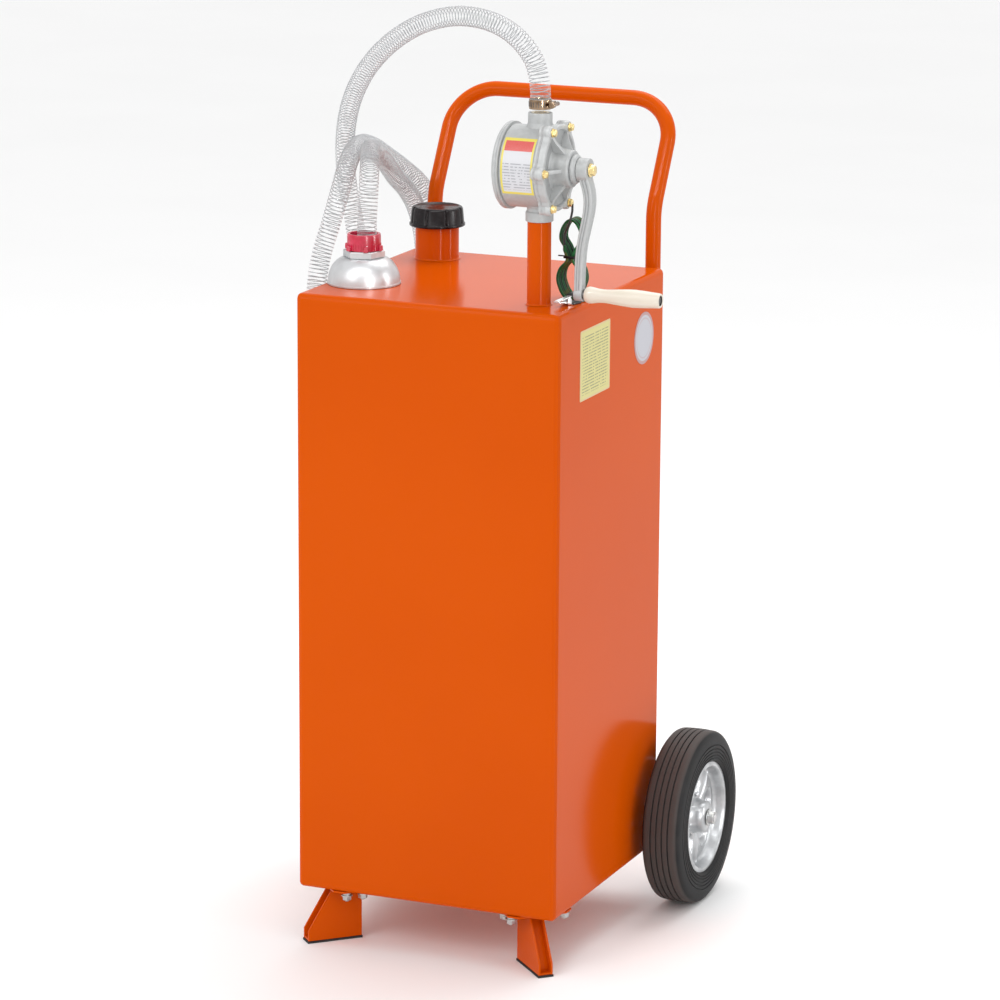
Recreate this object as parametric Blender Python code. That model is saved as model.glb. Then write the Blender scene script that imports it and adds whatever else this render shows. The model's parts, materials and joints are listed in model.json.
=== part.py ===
"""Fuel caddy: a sheet-steel tank on two wheels, with a rotary hand pump, hose and grounding lead.

Metres, +Z up. The layout is centred on the tank. One empty shifts it, so that the origin lies on the
floor under the middle of the rigid parts. +X runs to the right along the front, -Y is the front.
"""
import bpy
import bmesh
from math import cos, exp, hypot, pi, radians, sin, tan, tau
from mathutils import Matrix, Vector

# Clearances
SEAT = 0.0003
RUNNING = 0.0005
OVERRUN = 0.002
WELD = 0.000001
SMOOTH_ANGLE = radians(38)
LARGE = 24
MEDIUM = 18
SMALL = 12
TINY = 10
HIDDEN = 6

# Tank
TANK_WIDTH = 0.3925
TANK_DEPTH = 0.3930
TANK_HEIGHT = 0.8552
TANK_LIFT = 0.0814
SHEET = 0.0015
TANK_CORNER_R = 0.007
PAN_DEPTH = 0.014
PAN_EDGE_R = 0.007
TANK_TOP = TANK_LIFT + TANK_HEIGHT

# Filler neck and cap
NECK_X = -0.1300
NECK_BACK = 0.0618
NECK_R = 0.0313
NECK_WALL = 0.0025
NECK_HEIGHT = 0.0688
NECK_WELD = 0.0030
NECK_MOUTH_R = 0.0290
NECK_MOUTH_LENGTH = 0.0189
NECK_STEP_SHIFT = 0.0007
CAP_R = 0.0392
CAP_TOP_R = 0.0362
CAP_HEIGHT = 0.0310
CAP_ROOF = 0.0035
CAP_LIP = 0.0040
CAP_CHAMFER = 0.0030
CAP_FLUTES = 8
CAP_FLUTE_DEPTH = 0.0013
THREAD_PLAY = 0.0045
CAP_DRAFT = 0.0025
GASKET_THICK = 0.0025
GASKET_BORE_R = 0.0240

# Riser post and suction tube
POST_X = 0.1380
POST_Y = -0.1290
POST_R = 0.0163
POST_WALL = 0.0030
POST_HEIGHT = 0.1141
POST_WELD = 0.0028
DIP_WALL = 0.0018
DIP_INSERT = 0.0220
DIP_FLOOR_GAP = 0.0250
FOOT_STRAINER_R = 0.0190
FOOT_STRAINER_HEIGHT = 0.0450
FOOT_SLOT_WIDTH = 0.0035
FOOT_SLOT_HEIGHT = 0.0260
FOOT_SLOTS = 3

# Pump, measured along its shaft from the back of the rear cover
PORT_SETBACK = 0.0480
PUMP_DROP = 0.0740
PUMP_R = 0.0560
BODY_LENGTH = 0.0550
BODY_FLANGE = 0.0090
REAR_COVER_R = 0.0594
REAR_COVER_THICK = 0.0100
REAR_RIM = 0.0035
CHAMBER_R = 0.0465
ROTOR_OFFSET = 0.0045
INLET_BOSS_R = 0.0190
INLET_STEP = 0.0020
OUTLET_BOSS_R = 0.0166
PORT_R = 0.0125
BOSS_COLLAR = 0.0145
GASKET_SHEET = 0.0015
COVER_FLANGE = 0.0080
COVER_R = 0.0580
COVER_LOBE_R = 0.0088
LOBE_PROUD = 0.0030
BOLT_RING_R = 0.0595
BOLTS = 6
LOBE_SPREAD = tuple(radians(turn) for turn in (-20, -8.4, -4.5, 0, 4.5, 8.4, 20))
HUB_R = 0.0255
HUB_LENGTH = 0.0225
HUB_TAPER = 0.0020
RIB_THICK = 0.0050
RIB_DROP = 0.0070
RIM_WIDTH = 0.0060
RIM_HEIGHT = 0.0022
RIM_INSET = 0.0006
GLAND_R = 0.0200
GLAND_LENGTH = 0.0070
GLAND_STEP = 0.0030
SHAFT_R = 0.0075
SHAFT_POCKET = 0.0065
VANE_THICK = 0.0050
VANE_HEIGHT = 0.0215
HEX_SIDES = 6
BOLT_R = 0.0030
BOLT_HEAD_R = 0.0058
BOLT_HEAD_HEIGHT = 0.0042
BOLT_WASHER_R = 0.0066
BOLT_WASHER_THICK = 0.0012
BOLT_REACH = 0.0060
TAIL_WALL = 0.0030
TAIL_LENGTH = 0.0180

# Crank and grip
CRANK_LENGTH = 0.1700
CRANK_BOSS_R = 0.0160
CRANK_BOSS_LENGTH = 0.0155
ARM_BOW = 0.0130
ARM_WIDTH = 0.0170
ARM_THICK = 0.0110
ARM_GROOVE = 0.0014
ARM_CHAMFER = 0.0020
ARM_GROOVE_SHARE = 0.52
ARM_PATH_SHARES = ((0.00, 0.00), (0.07, 0.16), (0.15, 0.74), (0.235, 1.00), (0.33, 0.80), (0.44, 0.40),
                   (0.54, 0.02), (0.64, -0.24), (0.76, -0.36), (0.88, -0.42), (1.00, -0.44))
ARM_END_R = 0.0094
ARM_END_LENGTH = 0.0120
END_BOLT_R = 0.0033
END_BOLT_HEAD_R = 0.0075
END_BOLT_HEAD_HEIGHT = 0.0055
END_BOLT_WASHER_R = 0.0095
END_BOLT_WASHER_THICK = 0.0015
END_BOLT_LENGTH = 0.0220
SPINDLE_R = 0.0040
SPINDLE_COLLAR_R = 0.0070
SPINDLE_COLLAR = 0.0025
SPINDLE_HEAD_R = 0.0056
SPINDLE_HEAD = 0.0040
GRIP_LENGTH = 0.1085
GRIP_R = 0.0110
GRIP_RECESS_R = 0.0062
GRIP_RECESS = 0.0060
GRIP_SHARES = ((0.00, 0.64), (0.04, 0.86), (0.11, 0.98), (0.20, 0.99), (0.34, 0.90), (0.52, 0.78),
               (0.74, 0.78), (0.93, 0.87), (1.00, 0.78))

# Delivery hose and its clamp
HOSE_R = 0.0140
HOSE_POINTS = 72
CLAMP_RISE = 0.0046
CLAMP_WIDTH = 0.0130
CLAMP_BAND = 0.0012
CLAMP_BOX_REACH = 0.0250
CLAMP_BOX_WIDTH = 0.0120
CLAMP_BOX_HEIGHT = 0.0090
CLAMP_SCREW_R = 0.0042
CLAMP_SCREW_LENGTH = 0.0240
HOSE_ROUTE = (
    (0.138, -0.129, 1.1997), (0.138, -0.129, 1.2280), (0.126, -0.122, 1.266), (0.096, -0.111, 1.295),
    (0.053, -0.096, 1.312), (-0.005, -0.077, 1.315), (-0.068, -0.055, 1.299), (-0.125, -0.031, 1.268),
    (-0.174, -0.003, 1.227), (-0.214, 0.030, 1.177), (-0.242, 0.066, 1.123), (-0.255, 0.092, 1.072),
    (-0.255, 0.104, 1.025), (-0.246, 0.103, 0.984), (-0.233, 0.092, 0.939), (-0.220, 0.096, 0.875),
    (-0.2135, 0.120, 0.815), (-0.2125, 0.168, 0.778), (-0.2105, 0.230, 0.775), (-0.203, 0.283, 0.808),
    (-0.196, 0.307, 0.868), (-0.1955, 0.302, 0.922), (-0.199, 0.282, 0.975), (-0.206, 0.249, 1.019),
    (-0.2135, 0.203, 1.050), (-0.217, 0.153, 1.075), (-0.218, 0.108, 1.095), (-0.2155, 0.062, 1.106),
    (-0.208, 0.016, 1.101), (-0.201, -0.022, 1.081), (-0.199, -0.048, 1.052), (-0.201, -0.070, 1.015),
    (-0.208, -0.087, 0.972), (-0.2125, -0.094, 0.928), (-0.217, -0.087, 0.872), (-0.231, -0.050, 0.808),
    (-0.247, 0.020, 0.764), (-0.255, 0.100, 0.748), (-0.248, 0.178, 0.764), (-0.226, 0.237, 0.818),
    (-0.208, 0.258, 0.883), (-0.2045, 0.252, 0.940), (-0.205, 0.229, 0.988), (-0.203, 0.190, 1.022),
    (-0.198, 0.138, 1.050), (-0.188, 0.080, 1.082), (-0.177, 0.025, 1.105), (-0.163, -0.021, 1.1135),
    (-0.149, -0.054, 1.101), (-0.1405, -0.0765, 1.068), (-0.138, -0.0877, 1.020), (-0.138, -0.0877, 0.990))

# Strainer on the hose's end
BELL_X = -0.1426
BELL_Y = -0.0877
BELL_R = 0.0515
BELL_HEIGHT = 0.0370
BELL_LIP = 0.0030
BELL_LIP_STEP = 0.0010
BELL_TOP_R = 0.0285
BELL_WALL = 0.0015
BELL_BORE_R = 0.0110
DISC_RISE = 0.0012
DISC_THICK = 0.0012
DISC_HOLE_R = 0.0050
DISC_HOLE_PITCH = 0.0200
DISC_HOLE_RINGS = ((0, 1), (1, 5), (1.7, 5))
NUT_FLATS = 0.0540
NUT_HEIGHT = 0.0095
SPIGOT_R = 0.0210
COLLAR_R = 0.0236
COLLAR_MOUTH_R = 0.0196
COLLAR_HEIGHT = 0.0230
COLLAR_RIM = 0.0015
LUG_REACH = 0.0277
LUG_WIDTH = 0.0070
LUG_HEIGHT = 0.0075
LUGS = 6

# Grounding lead, hank and clip
LEAD_R = 0.0016
LEAD_KNOT_SHARES = ((0.00, 0.85), (0.35, 0.55), (1.00, 0.22))
WIRE_R = 0.0020
HANK_X = 0.1655
HANK_Y = -0.0880
HANK_HEIGHT = 0.1120
HANK_LOBE = 0.0205
HANK_WAIST_RISE = 0.0600
HANK_WAIST_REACH = 0.0170
HANK_GAP = 0.0009
HANK_PITCH = 0.0056
HANK_LOOPS = 5
LOOP_POINTS = 24
TAIL_BEND_R = 0.0110
TIE_WIDTH = 0.0035
TIE_THICK = 0.0010
TIE_TAIL = 0.0110
LUG_RING_R = 0.0062
LUG_RING_THICK = 0.0010
CLIP_X = 0.1825
CLIP_Y = -0.0975
CLIP_HEADING = radians(253)
CLIP_LENGTH = 0.0460
CLIP_WIDTH = 0.0100
CLIP_SHEET = 0.0011
CLIP_OPEN = 0.0150
CLIP_PIVOT_SHARE = 0.50
LOWER_JAW_SHARES = ((0.80, 0.00), (1.15, 0.45))
UPPER_JAW_SHARES = ((0.80, 0.90), (1.20, 0.60))
EAR_SHARE = 0.80
EAR_DROP_SHARE = 0.70
CLIP_PIN_R = 0.0011
CLIP_EAR_R = 0.0036
BOOT_LENGTH = 0.0170
BOOT_WALL = 0.0012
SPRING_R = 0.0018
SPRING_WIRE_R = 0.0004
SPRING_TURNS = 2

# Push handle
HANDLE_R = 0.0110
HANDLE_INSET = 0.02625
HANDLE_STAND_OFF = 0.0094
HANDLE_FOOT_DROP = 0.1766
HANDLE_KNEE = 0.0800
HANDLE_TOP_RISE = 0.2244
HANDLE_LEAN = 0.0820
HANDLE_KNEE_R = 0.0700
HANDLE_CORNER_R = 0.0650
STANDOFF_WIDTH = 0.0200
STANDOFF_LENGTH = 0.1000
STANDOFF_FOOT = 0.0020
HANDLE_BOLT_R = 0.0040
HANDLE_BOLT_HEAD_R = 0.0075
HANDLE_BOLT_HEAD = 0.0050
HANDLE_WASHER_R = 0.0090
HANDLE_WASHER = 0.0016
HANDLE_BOLT_TOP_DROP = 0.0880
HANDLE_BOLT_SPACING = 0.0640
HANDLE_BOLT_BITE = 0.0060

# Front feet, in a frame whose u runs in from the tank's corner and whose v runs across it
FOOT_SHEET = 0.0028
FOOT_OFFSET = 0.0153
FOOT_TOE = 0.0091
FOOT_HEEL = 0.0897
FOOT_SLANT = 0.0370
FOOT_TOE_HEIGHT = 0.0150
FOOT_FLANGE = 0.0210
FOOT_PLATE_START = 0.0400
FOOT_PLATE_END = 0.0960
FOOT_PLATE_MARGIN = 0.0040
FOOT_PLATE_HALF = 0.0480
PAD_THICK = 0.0030
PAD_SPREAD = 0.0008

# Wheels and axle
WHEEL_R = 0.1270
WHEEL_STAND_OFF = 0.04595
AXLE_BEHIND = 0.0143
AXLE_R = 0.0080
AXLE_END_R = 0.0058
AXLE_END_OUT = 0.0393
TYRE_HALF = 0.0300
TREAD_HALF = 0.0206
TREAD_DEPTH = 0.0024
TREAD_GROOVE = 0.0026
TREAD_GROOVES = 4
TYRE_CROWN = 0.0020
TYRE_SEAT_R = 0.0790
TYRE_BEAD_HALF = 0.0220
TYRE_SIDE_SHARES = ((0.92, 0.86), (0.78, 1.00))
RIM_HALF = 0.0225
RIM_THICK = 0.0060
RIM_LIP = 0.0022
HUB_WEB_OUT = 0.0150
HUB_WEB_IN = 0.0030
HUB_DISH = 0.0060
HUB_BOSS_R = 0.0200
HUB_BOSS_OUT = 0.0290
HUB_BOSS_IN = 0.0265
HUB_POCKET_R = 0.0150
HUB_POCKET_RING_R = 0.0455
HUB_POCKET_FLOOR = 0.0040
HUB_POCKETS = 5
NUT_R = 0.0100
NUT_LENGTH = 0.0080
NUT_WASHER_R = 0.0125
NUT_WASHER = 0.0015
BRACKET_INSET = 0.02325
BRACKET_HALF = 0.0160
BRACKET_SHEET = 0.0035
BRACKET_HEIGHT = 0.0480
BRACKET_NOSE_R = 0.0140

# Places worked out from the sizes
TANK_HALF_X = TANK_WIDTH / 2
TANK_HALF_Y = TANK_DEPTH / 2
NECK_Y = TANK_HALF_Y - NECK_BACK
WHEEL_X = TANK_HALF_X + WHEEL_STAND_OFF
WHEEL_Y = TANK_HALF_Y + AXLE_BEHIND
AXLE_END_X = WHEEL_X + AXLE_END_OUT
BRACKET_X = TANK_HALF_X - BRACKET_INSET
HANDLE_HALF = TANK_HALF_X - HANDLE_INSET
BASE = TANK_TOP + SEAT
PUMP_X = POST_X - PORT_SETBACK
PUMP_Z = BASE + POST_HEIGHT + SEAT + PUMP_DROP
BODY_A = REAR_COVER_THICK + SEAT
GASKET_A = BODY_A + BODY_LENGTH + SEAT
COVER_A = GASKET_A + GASKET_SHEET + SEAT
HUB_END_A = COVER_A + COVER_FLANGE + HUB_LENGTH
GLAND_A = HUB_END_A + SEAT
CRANK_A = GLAND_A + GLAND_LENGTH + SEAT
CRANK_END_A = CRANK_A + CRANK_BOSS_LENGTH
CRANK_MID_A = CRANK_A + CRANK_BOSS_LENGTH / 2
ROTOR_R = CHAMBER_R - ROTOR_OFFSET - RUNNING
ARM_END_A = CRANK_MID_A + ARM_BOW * ARM_PATH_SHARES[-1][1]
SPINDLE_A = ARM_END_A - ARM_END_LENGTH / 2
COLLAR_A = ARM_END_A + ARM_END_LENGTH / 2 + SEAT
GRIP_A = COLLAR_A + SPINDLE_COLLAR + SEAT
GRIP_Z = PUMP_Z - CRANK_LENGTH
OUTLET_TOP = PUMP_Z + PUMP_DROP
HANDLE_Y = TANK_HALF_Y + HANDLE_STAND_OFF + HANDLE_R
AXLE_Z = WHEEL_R
NUT_X = WHEEL_X + HUB_BOSS_OUT + SEAT
CADDY_RIGHT = PUMP_X + GRIP_A + GRIP_LENGTH
CADDY_LEFT = -(NUT_X + NUT_WASHER + NUT_LENGTH)
CADDY_BACK = WHEEL_Y + WHEEL_R
FOOT_FRONT_U = FOOT_TOE - PAD_SPREAD
FOOT_FRONT_V = FOOT_OFFSET + FOOT_SHEET + PAD_SPREAD
CADDY_FRONT = -TANK_HALF_Y + (FOOT_FRONT_U - FOOT_FRONT_V) / 2 ** 0.5
ORIGIN_X = (CADDY_RIGHT + CADDY_LEFT) / 2
ORIGIN_Y = (CADDY_BACK + CADDY_FRONT) / 2

PALETTE = {
    "orange paint": ((0.80, 0.13, 0.01), 0.30, 0.0),
    "cast grey": ((0.50, 0.51, 0.53), 0.55, 0.4),
    "black plastic": ((0.03, 0.03, 0.03), 0.45, 0.0),
    "black rubber": ((0.02, 0.02, 0.02), 0.80, 0.0),
    "brass": ((0.78, 0.62, 0.30), 0.30, 1.0),
    "zinc": ((0.66, 0.66, 0.64), 0.35, 1.0),
    "steel": ((0.55, 0.55, 0.56), 0.35, 1.0),
    "wood": ((0.80, 0.66, 0.45), 0.55, 0.0),
    "clear hose": ((0.80, 0.82, 0.84), 0.15, 0.0),
    "silver shell": ((0.75, 0.76, 0.77), 0.25, 0.6),
    "crimson plastic": ((0.62, 0.03, 0.08), 0.35, 0.0),
    "green wire": ((0.02, 0.16, 0.06), 0.45, 0.0),
    "graphite": ((0.08, 0.08, 0.09), 0.50, 0.0),
}


def clear_scene():
    """Remove every object of the open file."""
    for old in list(bpy.data.objects):
        bpy.data.objects.remove(old, do_unlink=True)


def make_material(name):
    """Principled material of one palette entry, made once."""
    if name in bpy.data.materials:
        return bpy.data.materials[name]
    color, roughness, metallic = PALETTE[name]
    material = bpy.data.materials.new(name)
    material.use_nodes = True
    shader = material.node_tree.nodes["Principled BSDF"]
    shader.inputs["Base Color"].default_value = (*color, 1.0)
    shader.inputs["Roughness"].default_value = roughness
    shader.inputs["Metallic"].default_value = metallic
    material.diffuse_color = (*color, 1.0)
    return material


def empty(name, place, parent=None):
    """Empty that carries a group of pieces."""
    holder = bpy.data.objects.new(name, None)
    bpy.context.collection.objects.link(holder)
    holder.location = place
    holder.parent = parent
    return holder


def as_object(name, bm, material, parent, place=(0, 0, 0), turn=(0, 0, 0)):
    """Object made of a bmesh, with outward faces and smooth round sides."""
    bmesh.ops.recalc_face_normals(bm, faces=bm.faces)
    mesh = bpy.data.meshes.new(name)
    bm.to_mesh(mesh)
    bm.free()
    mesh.shade_smooth()
    mesh.set_sharp_from_angle(angle=SMOOTH_ANGLE)
    mesh.materials.append(make_material(material))
    piece = bpy.data.objects.new(name, mesh)
    bpy.context.collection.objects.link(piece)
    piece.parent = parent
    piece.location = place
    piece.rotation_euler = turn
    return piece


def lay_along(bm, axis):
    """Turn a shape that was made about Z so that it lies along X or Y."""
    if axis == "X":
        bmesh.ops.rotate(bm, verts=bm.verts, matrix=Matrix.Rotation(pi / 2, 3, "Y"))
    if axis == "Y":
        bmesh.ops.rotate(bm, verts=bm.verts, matrix=Matrix.Rotation(-pi / 2, 3, "X"))


def turned_mesh(profile, sides=MEDIUM, axis="Z"):
    """Bmesh of a profile of (radius, height) points spun about the axis."""
    bm = bmesh.new()
    verts = [bm.verts.new((radius, 0, height)) for radius, height in profile]
    ring = verts[1:] + (verts[:1] if profile[0][0] > 0 else [])
    edges = [bm.edges.new(pair) for pair in zip(verts, ring)]
    bmesh.ops.spin(bm, geom=verts + edges, axis=(0, 0, 1), cent=(0, 0, 0), steps=sides, angle=tau,
                   use_merge=True)
    bmesh.ops.remove_doubles(bm, verts=bm.verts, dist=WELD)
    lay_along(bm, axis)
    return bm


def turned(name, profile, material, parent, place=(0, 0, 0), sides=MEDIUM, axis="Z"):
    """Turned solid."""
    return as_object(name, turned_mesh(profile, sides, axis), material, parent, place)


def rod(radius, low, high):
    """Profile of a plain round bar."""
    return [(0, low), (radius, low), (radius, high), (0, high)]


def pipe(bore, radius, low, high):
    """Profile of a plain round tube."""
    return [(bore, low), (radius, low), (radius, high), (bore, high)]


def prism_mesh(outline, low, high, axis="Z"):
    """Bmesh of a flat outline pushed from low to high."""
    bm = bmesh.new()
    face = bm.faces.new([bm.verts.new((x, y, low)) for x, y in outline])
    pushed = bmesh.ops.extrude_face_region(bm, geom=[face])["geom"]
    moved = [item for item in pushed if isinstance(item, bmesh.types.BMVert)]
    bmesh.ops.translate(bm, verts=moved, vec=(0, 0, high - low))
    lay_along(bm, axis)
    return bm


def prism(name, outline, low, high, material, parent, place=(0, 0, 0), axis="Z", turn=(0, 0, 0)):
    """Solid with a flat outline."""
    return as_object(name, prism_mesh(outline, low, high, axis), material, parent, place, turn)


def skinned_mesh(rings, closed=False):
    """Bmesh through rings of equal length: capped at both ends, or joined end to end."""
    bm = bmesh.new()
    rows = [[bm.verts.new(point) for point in ring] for ring in rings]
    for low, high in zip(rows, rows[1:] + (rows[:1] if closed else [])):
        for i in range(len(low)):
            j = (i + 1) % len(low)
            bm.faces.new((low[i], low[j], high[j], high[i]))
    if not closed:
        bm.faces.new(rows[0])
        bm.faces.new(rows[-1])
    return bm


def box_outline(low_x, high_x, low_y, high_y):
    """Rectangle by its sides."""
    return [(low_x, low_y), (high_x, low_y), (high_x, high_y), (low_x, high_y)]


def rounded_rectangle(width, depth, radius, steps=2):
    """Rectangle about the centre with round corners."""
    points = []
    for quarter in range(4):
        side_x = 1 if quarter in (0, 3) else -1
        side_y = 1 if quarter in (0, 1) else -1
        center = (side_x * (width / 2 - radius), side_y * (depth / 2 - radius))
        for step in range(steps + 1):
            angle = (quarter + step / steps) * pi / 2
            points.append((center[0] + radius * cos(angle), center[1] + radius * sin(angle)))
    return points


def regular(sides, radius, phase=0.0):
    """Corners of a regular outline."""
    return [(radius * cos(phase + tau * i / sides), radius * sin(phase + tau * i / sides))
            for i in range(sides)]


def combine(target, tool, operation):
    """Boolean modifier whose tool is hidden from the render."""
    step = target.modifiers.new(tool.name, "BOOLEAN")
    step.operation = operation
    step.object = tool
    step.solver = "EXACT"
    tool.hide_render = True
    tool.display_type = "WIRE"
    return target


def cut(target, tool):
    """Take the tool away from the target."""
    return combine(target, tool, "DIFFERENCE")


def join(target, tool):
    """Add the tool to the target."""
    return combine(target, tool, "UNION")


def smooth_route(points, count):
    """Points of a route: its first and last run straight, evenly spaced on a smooth curve between."""
    ends = [Vector(point) for point in points]
    fine = []
    steps = 12
    for a, b, c, d in zip(ends, ends[1:], ends[2:], ends[3:]):
        t1 = (b - a).length ** 0.5
        t2 = t1 + (c - b).length ** 0.5
        t3 = t2 + (d - c).length ** 0.5
        for step in range(steps):
            t = t1 + (t2 - t1) * step / steps
            ab = a.lerp(b, t / t1)
            bc = b.lerp(c, (t - t1) / (t2 - t1))
            cd = c.lerp(d, (t - t2) / (t3 - t2))
            fine.append(ab.lerp(bc, t / t2).lerp(bc.lerp(cd, (t - t1) / (t3 - t1)), (t - t1) / (t2 - t1)))
    fine.append(ends[-2])
    reach = [0.0]
    for low, high in zip(fine, fine[1:]):
        reach.append(reach[-1] + (high - low).length)
    even = [ends[0]]
    at = 0
    for i in range(count - 2):
        target = reach[-1] * i / (count - 3)
        while at < len(fine) - 2 and reach[at + 1] < target:
            at += 1
        even.append(fine[at].lerp(fine[at + 1], (target - reach[at]) / (reach[at + 1] - reach[at])))
    return even + [ends[-1]]


def least_gap(points, radius):
    """Smallest distance between the tube's own walls, away from its neighbouring turns."""
    fine = []
    for low, high in zip(points, points[1:]):
        fine += [low.lerp(high, step / 4) for step in range(4)]
    fine.append(points[-1])
    reach = [0.0]
    for low, high in zip(fine, fine[1:]):
        reach.append(reach[-1] + (high - low).length)
    best = None
    for i, low in enumerate(fine):
        for j in range(i + 1, len(fine)):
            if reach[j] - reach[i] > 8 * radius:
                gap = (fine[j] - low).length - 2 * radius
                best = gap if best is None else min(best, gap)
    return best


def tube_along(name, points, radius, material, parent, resolution=2):
    """Curve object that lays one round tube through the points."""
    curve = bpy.data.curves.new(name, "CURVE")
    curve.dimensions = "3D"
    curve.bevel_depth = radius
    curve.bevel_resolution = resolution
    curve.use_fill_caps = True
    spline = curve.splines.new("POLY")
    spline.points.add(len(points) - 1)
    for knot, point in zip(spline.points, points):
        knot.co = (*point, 1.0)
    curve.materials.append(make_material(material))
    piece = bpy.data.objects.new(name, curve)
    bpy.context.collection.objects.link(piece)
    piece.parent = parent
    return piece


def filleted_path(corners, radii, steps=4):
    """Points along straight runs whose inner corners are arcs of the given radii."""
    path = [Vector(corners[0])]
    for before, corner, after, radius in zip(corners, corners[1:], corners[2:], radii):
        corner = Vector(corner)
        back = (Vector(before) - corner).normalized()
        ahead = (Vector(after) - corner).normalized()
        half = back.angle(ahead) / 2
        center = corner + (back + ahead).normalized() * radius / sin(half)
        start = corner + back * radius / tan(half) - center
        normal = -start.cross(back).normalized()
        for step in range(steps + 1):
            turn = Matrix.Rotation((pi - 2 * half) * step / steps, 3, normal)
            path.append(center + turn @ start)
    path.append(Vector(corners[-1]))
    return path


def swept_mesh(path, section, side):
    """Bmesh of a flat section carried along a path, its first axis kept along side."""
    side = Vector(side)
    rings = []
    for i, point in enumerate(path):
        ahead = (path[min(i + 1, len(path) - 1)] - path[max(i - 1, 0)]).normalized()
        across = (side - ahead * side.dot(ahead)).normalized()
        up = ahead.cross(across)
        rings.append([point + across * x + up * y for x, y in section])
    return skinned_mesh(rings)


def pan(name, face_z, toward, parent):
    """Shallow pressed pan that closes one end of the tank: toward is 1 for the top, -1 for the floor."""
    steps = 3
    inner_r = PAN_EDGE_R - SHEET
    levels = []
    for step in range(steps + 1):
        angle = pi / 2 * (1 - step / steps)
        inset = PAN_EDGE_R - inner_r * cos(angle)
        levels.append((inset, PAN_EDGE_R - inner_r * sin(angle)))
    levels.append((SHEET, PAN_DEPTH))
    levels.append((0, PAN_DEPTH))
    for step in range(steps + 1):
        angle = pi / 2 * step / steps
        levels.append((PAN_EDGE_R * (1 - cos(angle)), PAN_EDGE_R * (1 - sin(angle))))
    rings = []
    for inset, depth in levels:
        outline = rounded_rectangle(TANK_WIDTH - 2 * inset, TANK_DEPTH - 2 * inset,
                                    max(TANK_CORNER_R - inset, SHEET / 2))
        rings.append([(x, y, face_z - toward * depth) for x, y in outline])
    return as_object(name, skinned_mesh(rings), "orange paint", parent)


def make_tank(root):
    """Wrapped shell with a pressed pan at each end."""
    low = TANK_LIFT + PAN_DEPTH + SEAT
    high = TANK_TOP - PAN_DEPTH - SEAT
    outer = rounded_rectangle(TANK_WIDTH, TANK_DEPTH, TANK_CORNER_R)
    inner = rounded_rectangle(TANK_WIDTH - 2 * SHEET, TANK_DEPTH - 2 * SHEET, TANK_CORNER_R - SHEET)
    rings = [[(x, y, low) for x, y in outer], [(x, y, high) for x, y in outer],
             [(x, y, high) for x, y in inner], [(x, y, low) for x, y in inner]]
    as_object("tank_shell", skinned_mesh(rings, closed=True), "orange paint", root)
    pan("tank_floor", TANK_LIFT, -1, root)
    top = pan("tank_top", TANK_TOP, 1, root)
    low, high = TANK_TOP - SHEET - OVERRUN, TANK_TOP + OVERRUN
    cut(top, turned("cutter_neck_hole", rod(NECK_R - NECK_WALL, low, high), "steel", root,
                    (NECK_X, NECK_Y, 0)))
    cut(top, turned("cutter_post_hole", rod(POST_R - POST_WALL, low, high), "steel", root,
                    (POST_X, POST_Y, 0)))


def weld_arc(radius, bead):
    """Profile of the weld bead round a tube's foot."""
    return [(radius + bead * (1 - sin(angle)), bead * (1 - cos(angle))) for angle in (0, pi / 4, pi / 2)]


def welded_tube(name, radius, wall, height, bead, root, place):
    """Upright tube with a weld bead round its foot."""
    profile = [(radius - wall, 0)] + weld_arc(radius, bead) + [(radius, height), (radius - wall, height)]
    return turned(name, profile, "orange paint", root, place, sides=LARGE)


def make_filler(root):
    """Neck, gasket and screw cap."""
    step = NECK_R - NECK_MOUTH_R
    shoulder = NECK_HEIGHT - NECK_MOUTH_LENGTH
    inner_shoulder = shoulder + NECK_STEP_SHIFT
    profile = [(NECK_R - NECK_WALL, 0)] + weld_arc(NECK_R, NECK_WELD)
    profile += [(NECK_R, shoulder - step), (NECK_MOUTH_R, shoulder), (NECK_MOUTH_R, NECK_HEIGHT),
                (NECK_MOUTH_R - NECK_WALL, NECK_HEIGHT), (NECK_MOUTH_R - NECK_WALL, inner_shoulder),
                (NECK_R - NECK_WALL, inner_shoulder - step)]
    turned("filler_neck", profile, "orange paint", root, (NECK_X, NECK_Y, BASE), sides=LARGE)
    holder = empty("cap_axis", (NECK_X, NECK_Y, BASE + NECK_HEIGHT + SEAT), root)
    inner_r = NECK_MOUTH_R + THREAD_PLAY
    turned("cap_gasket", pipe(GASKET_BORE_R, inner_r - SEAT, 0, GASKET_THICK), "black rubber", holder)
    roof = GASKET_THICK + SEAT + CAP_ROOF
    skirt = roof - CAP_HEIGHT
    sides = CAP_FLUTES * 4
    levels = ((CAP_R, skirt, 0.0), (CAP_R, skirt + CAP_LIP / 2, 0.0),
              (CAP_R - CAP_FLUTE_DEPTH, skirt + CAP_LIP, 1.0),
              (CAP_TOP_R, roof - CAP_CHAMFER, 1.0), (CAP_TOP_R - CAP_CHAMFER, roof, 0.6))
    rings = []
    for radius, height, share in levels:
        ring = []
        for i in range(sides):
            angle = tau * i / sides
            flute = max(0.0, cos(CAP_FLUTES * angle)) ** 0.5
            reach = radius - CAP_FLUTE_DEPTH * share * flute
            ring.append((reach * cos(angle), reach * sin(angle), height))
        rings.append(ring)
    cap = as_object("filler_cap", skinned_mesh(rings), "black plastic", holder)
    draft = CAP_DRAFT / (roof - CAP_ROOF - skirt)
    bore = [(0, skirt - OVERRUN), (inner_r + CAP_DRAFT + OVERRUN * draft, skirt - OVERRUN),
            (inner_r, roof - CAP_ROOF), (0, roof - CAP_ROOF)]
    cut(cap, turned("cutter_cap", bore, "steel", holder, sides=LARGE))


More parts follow.
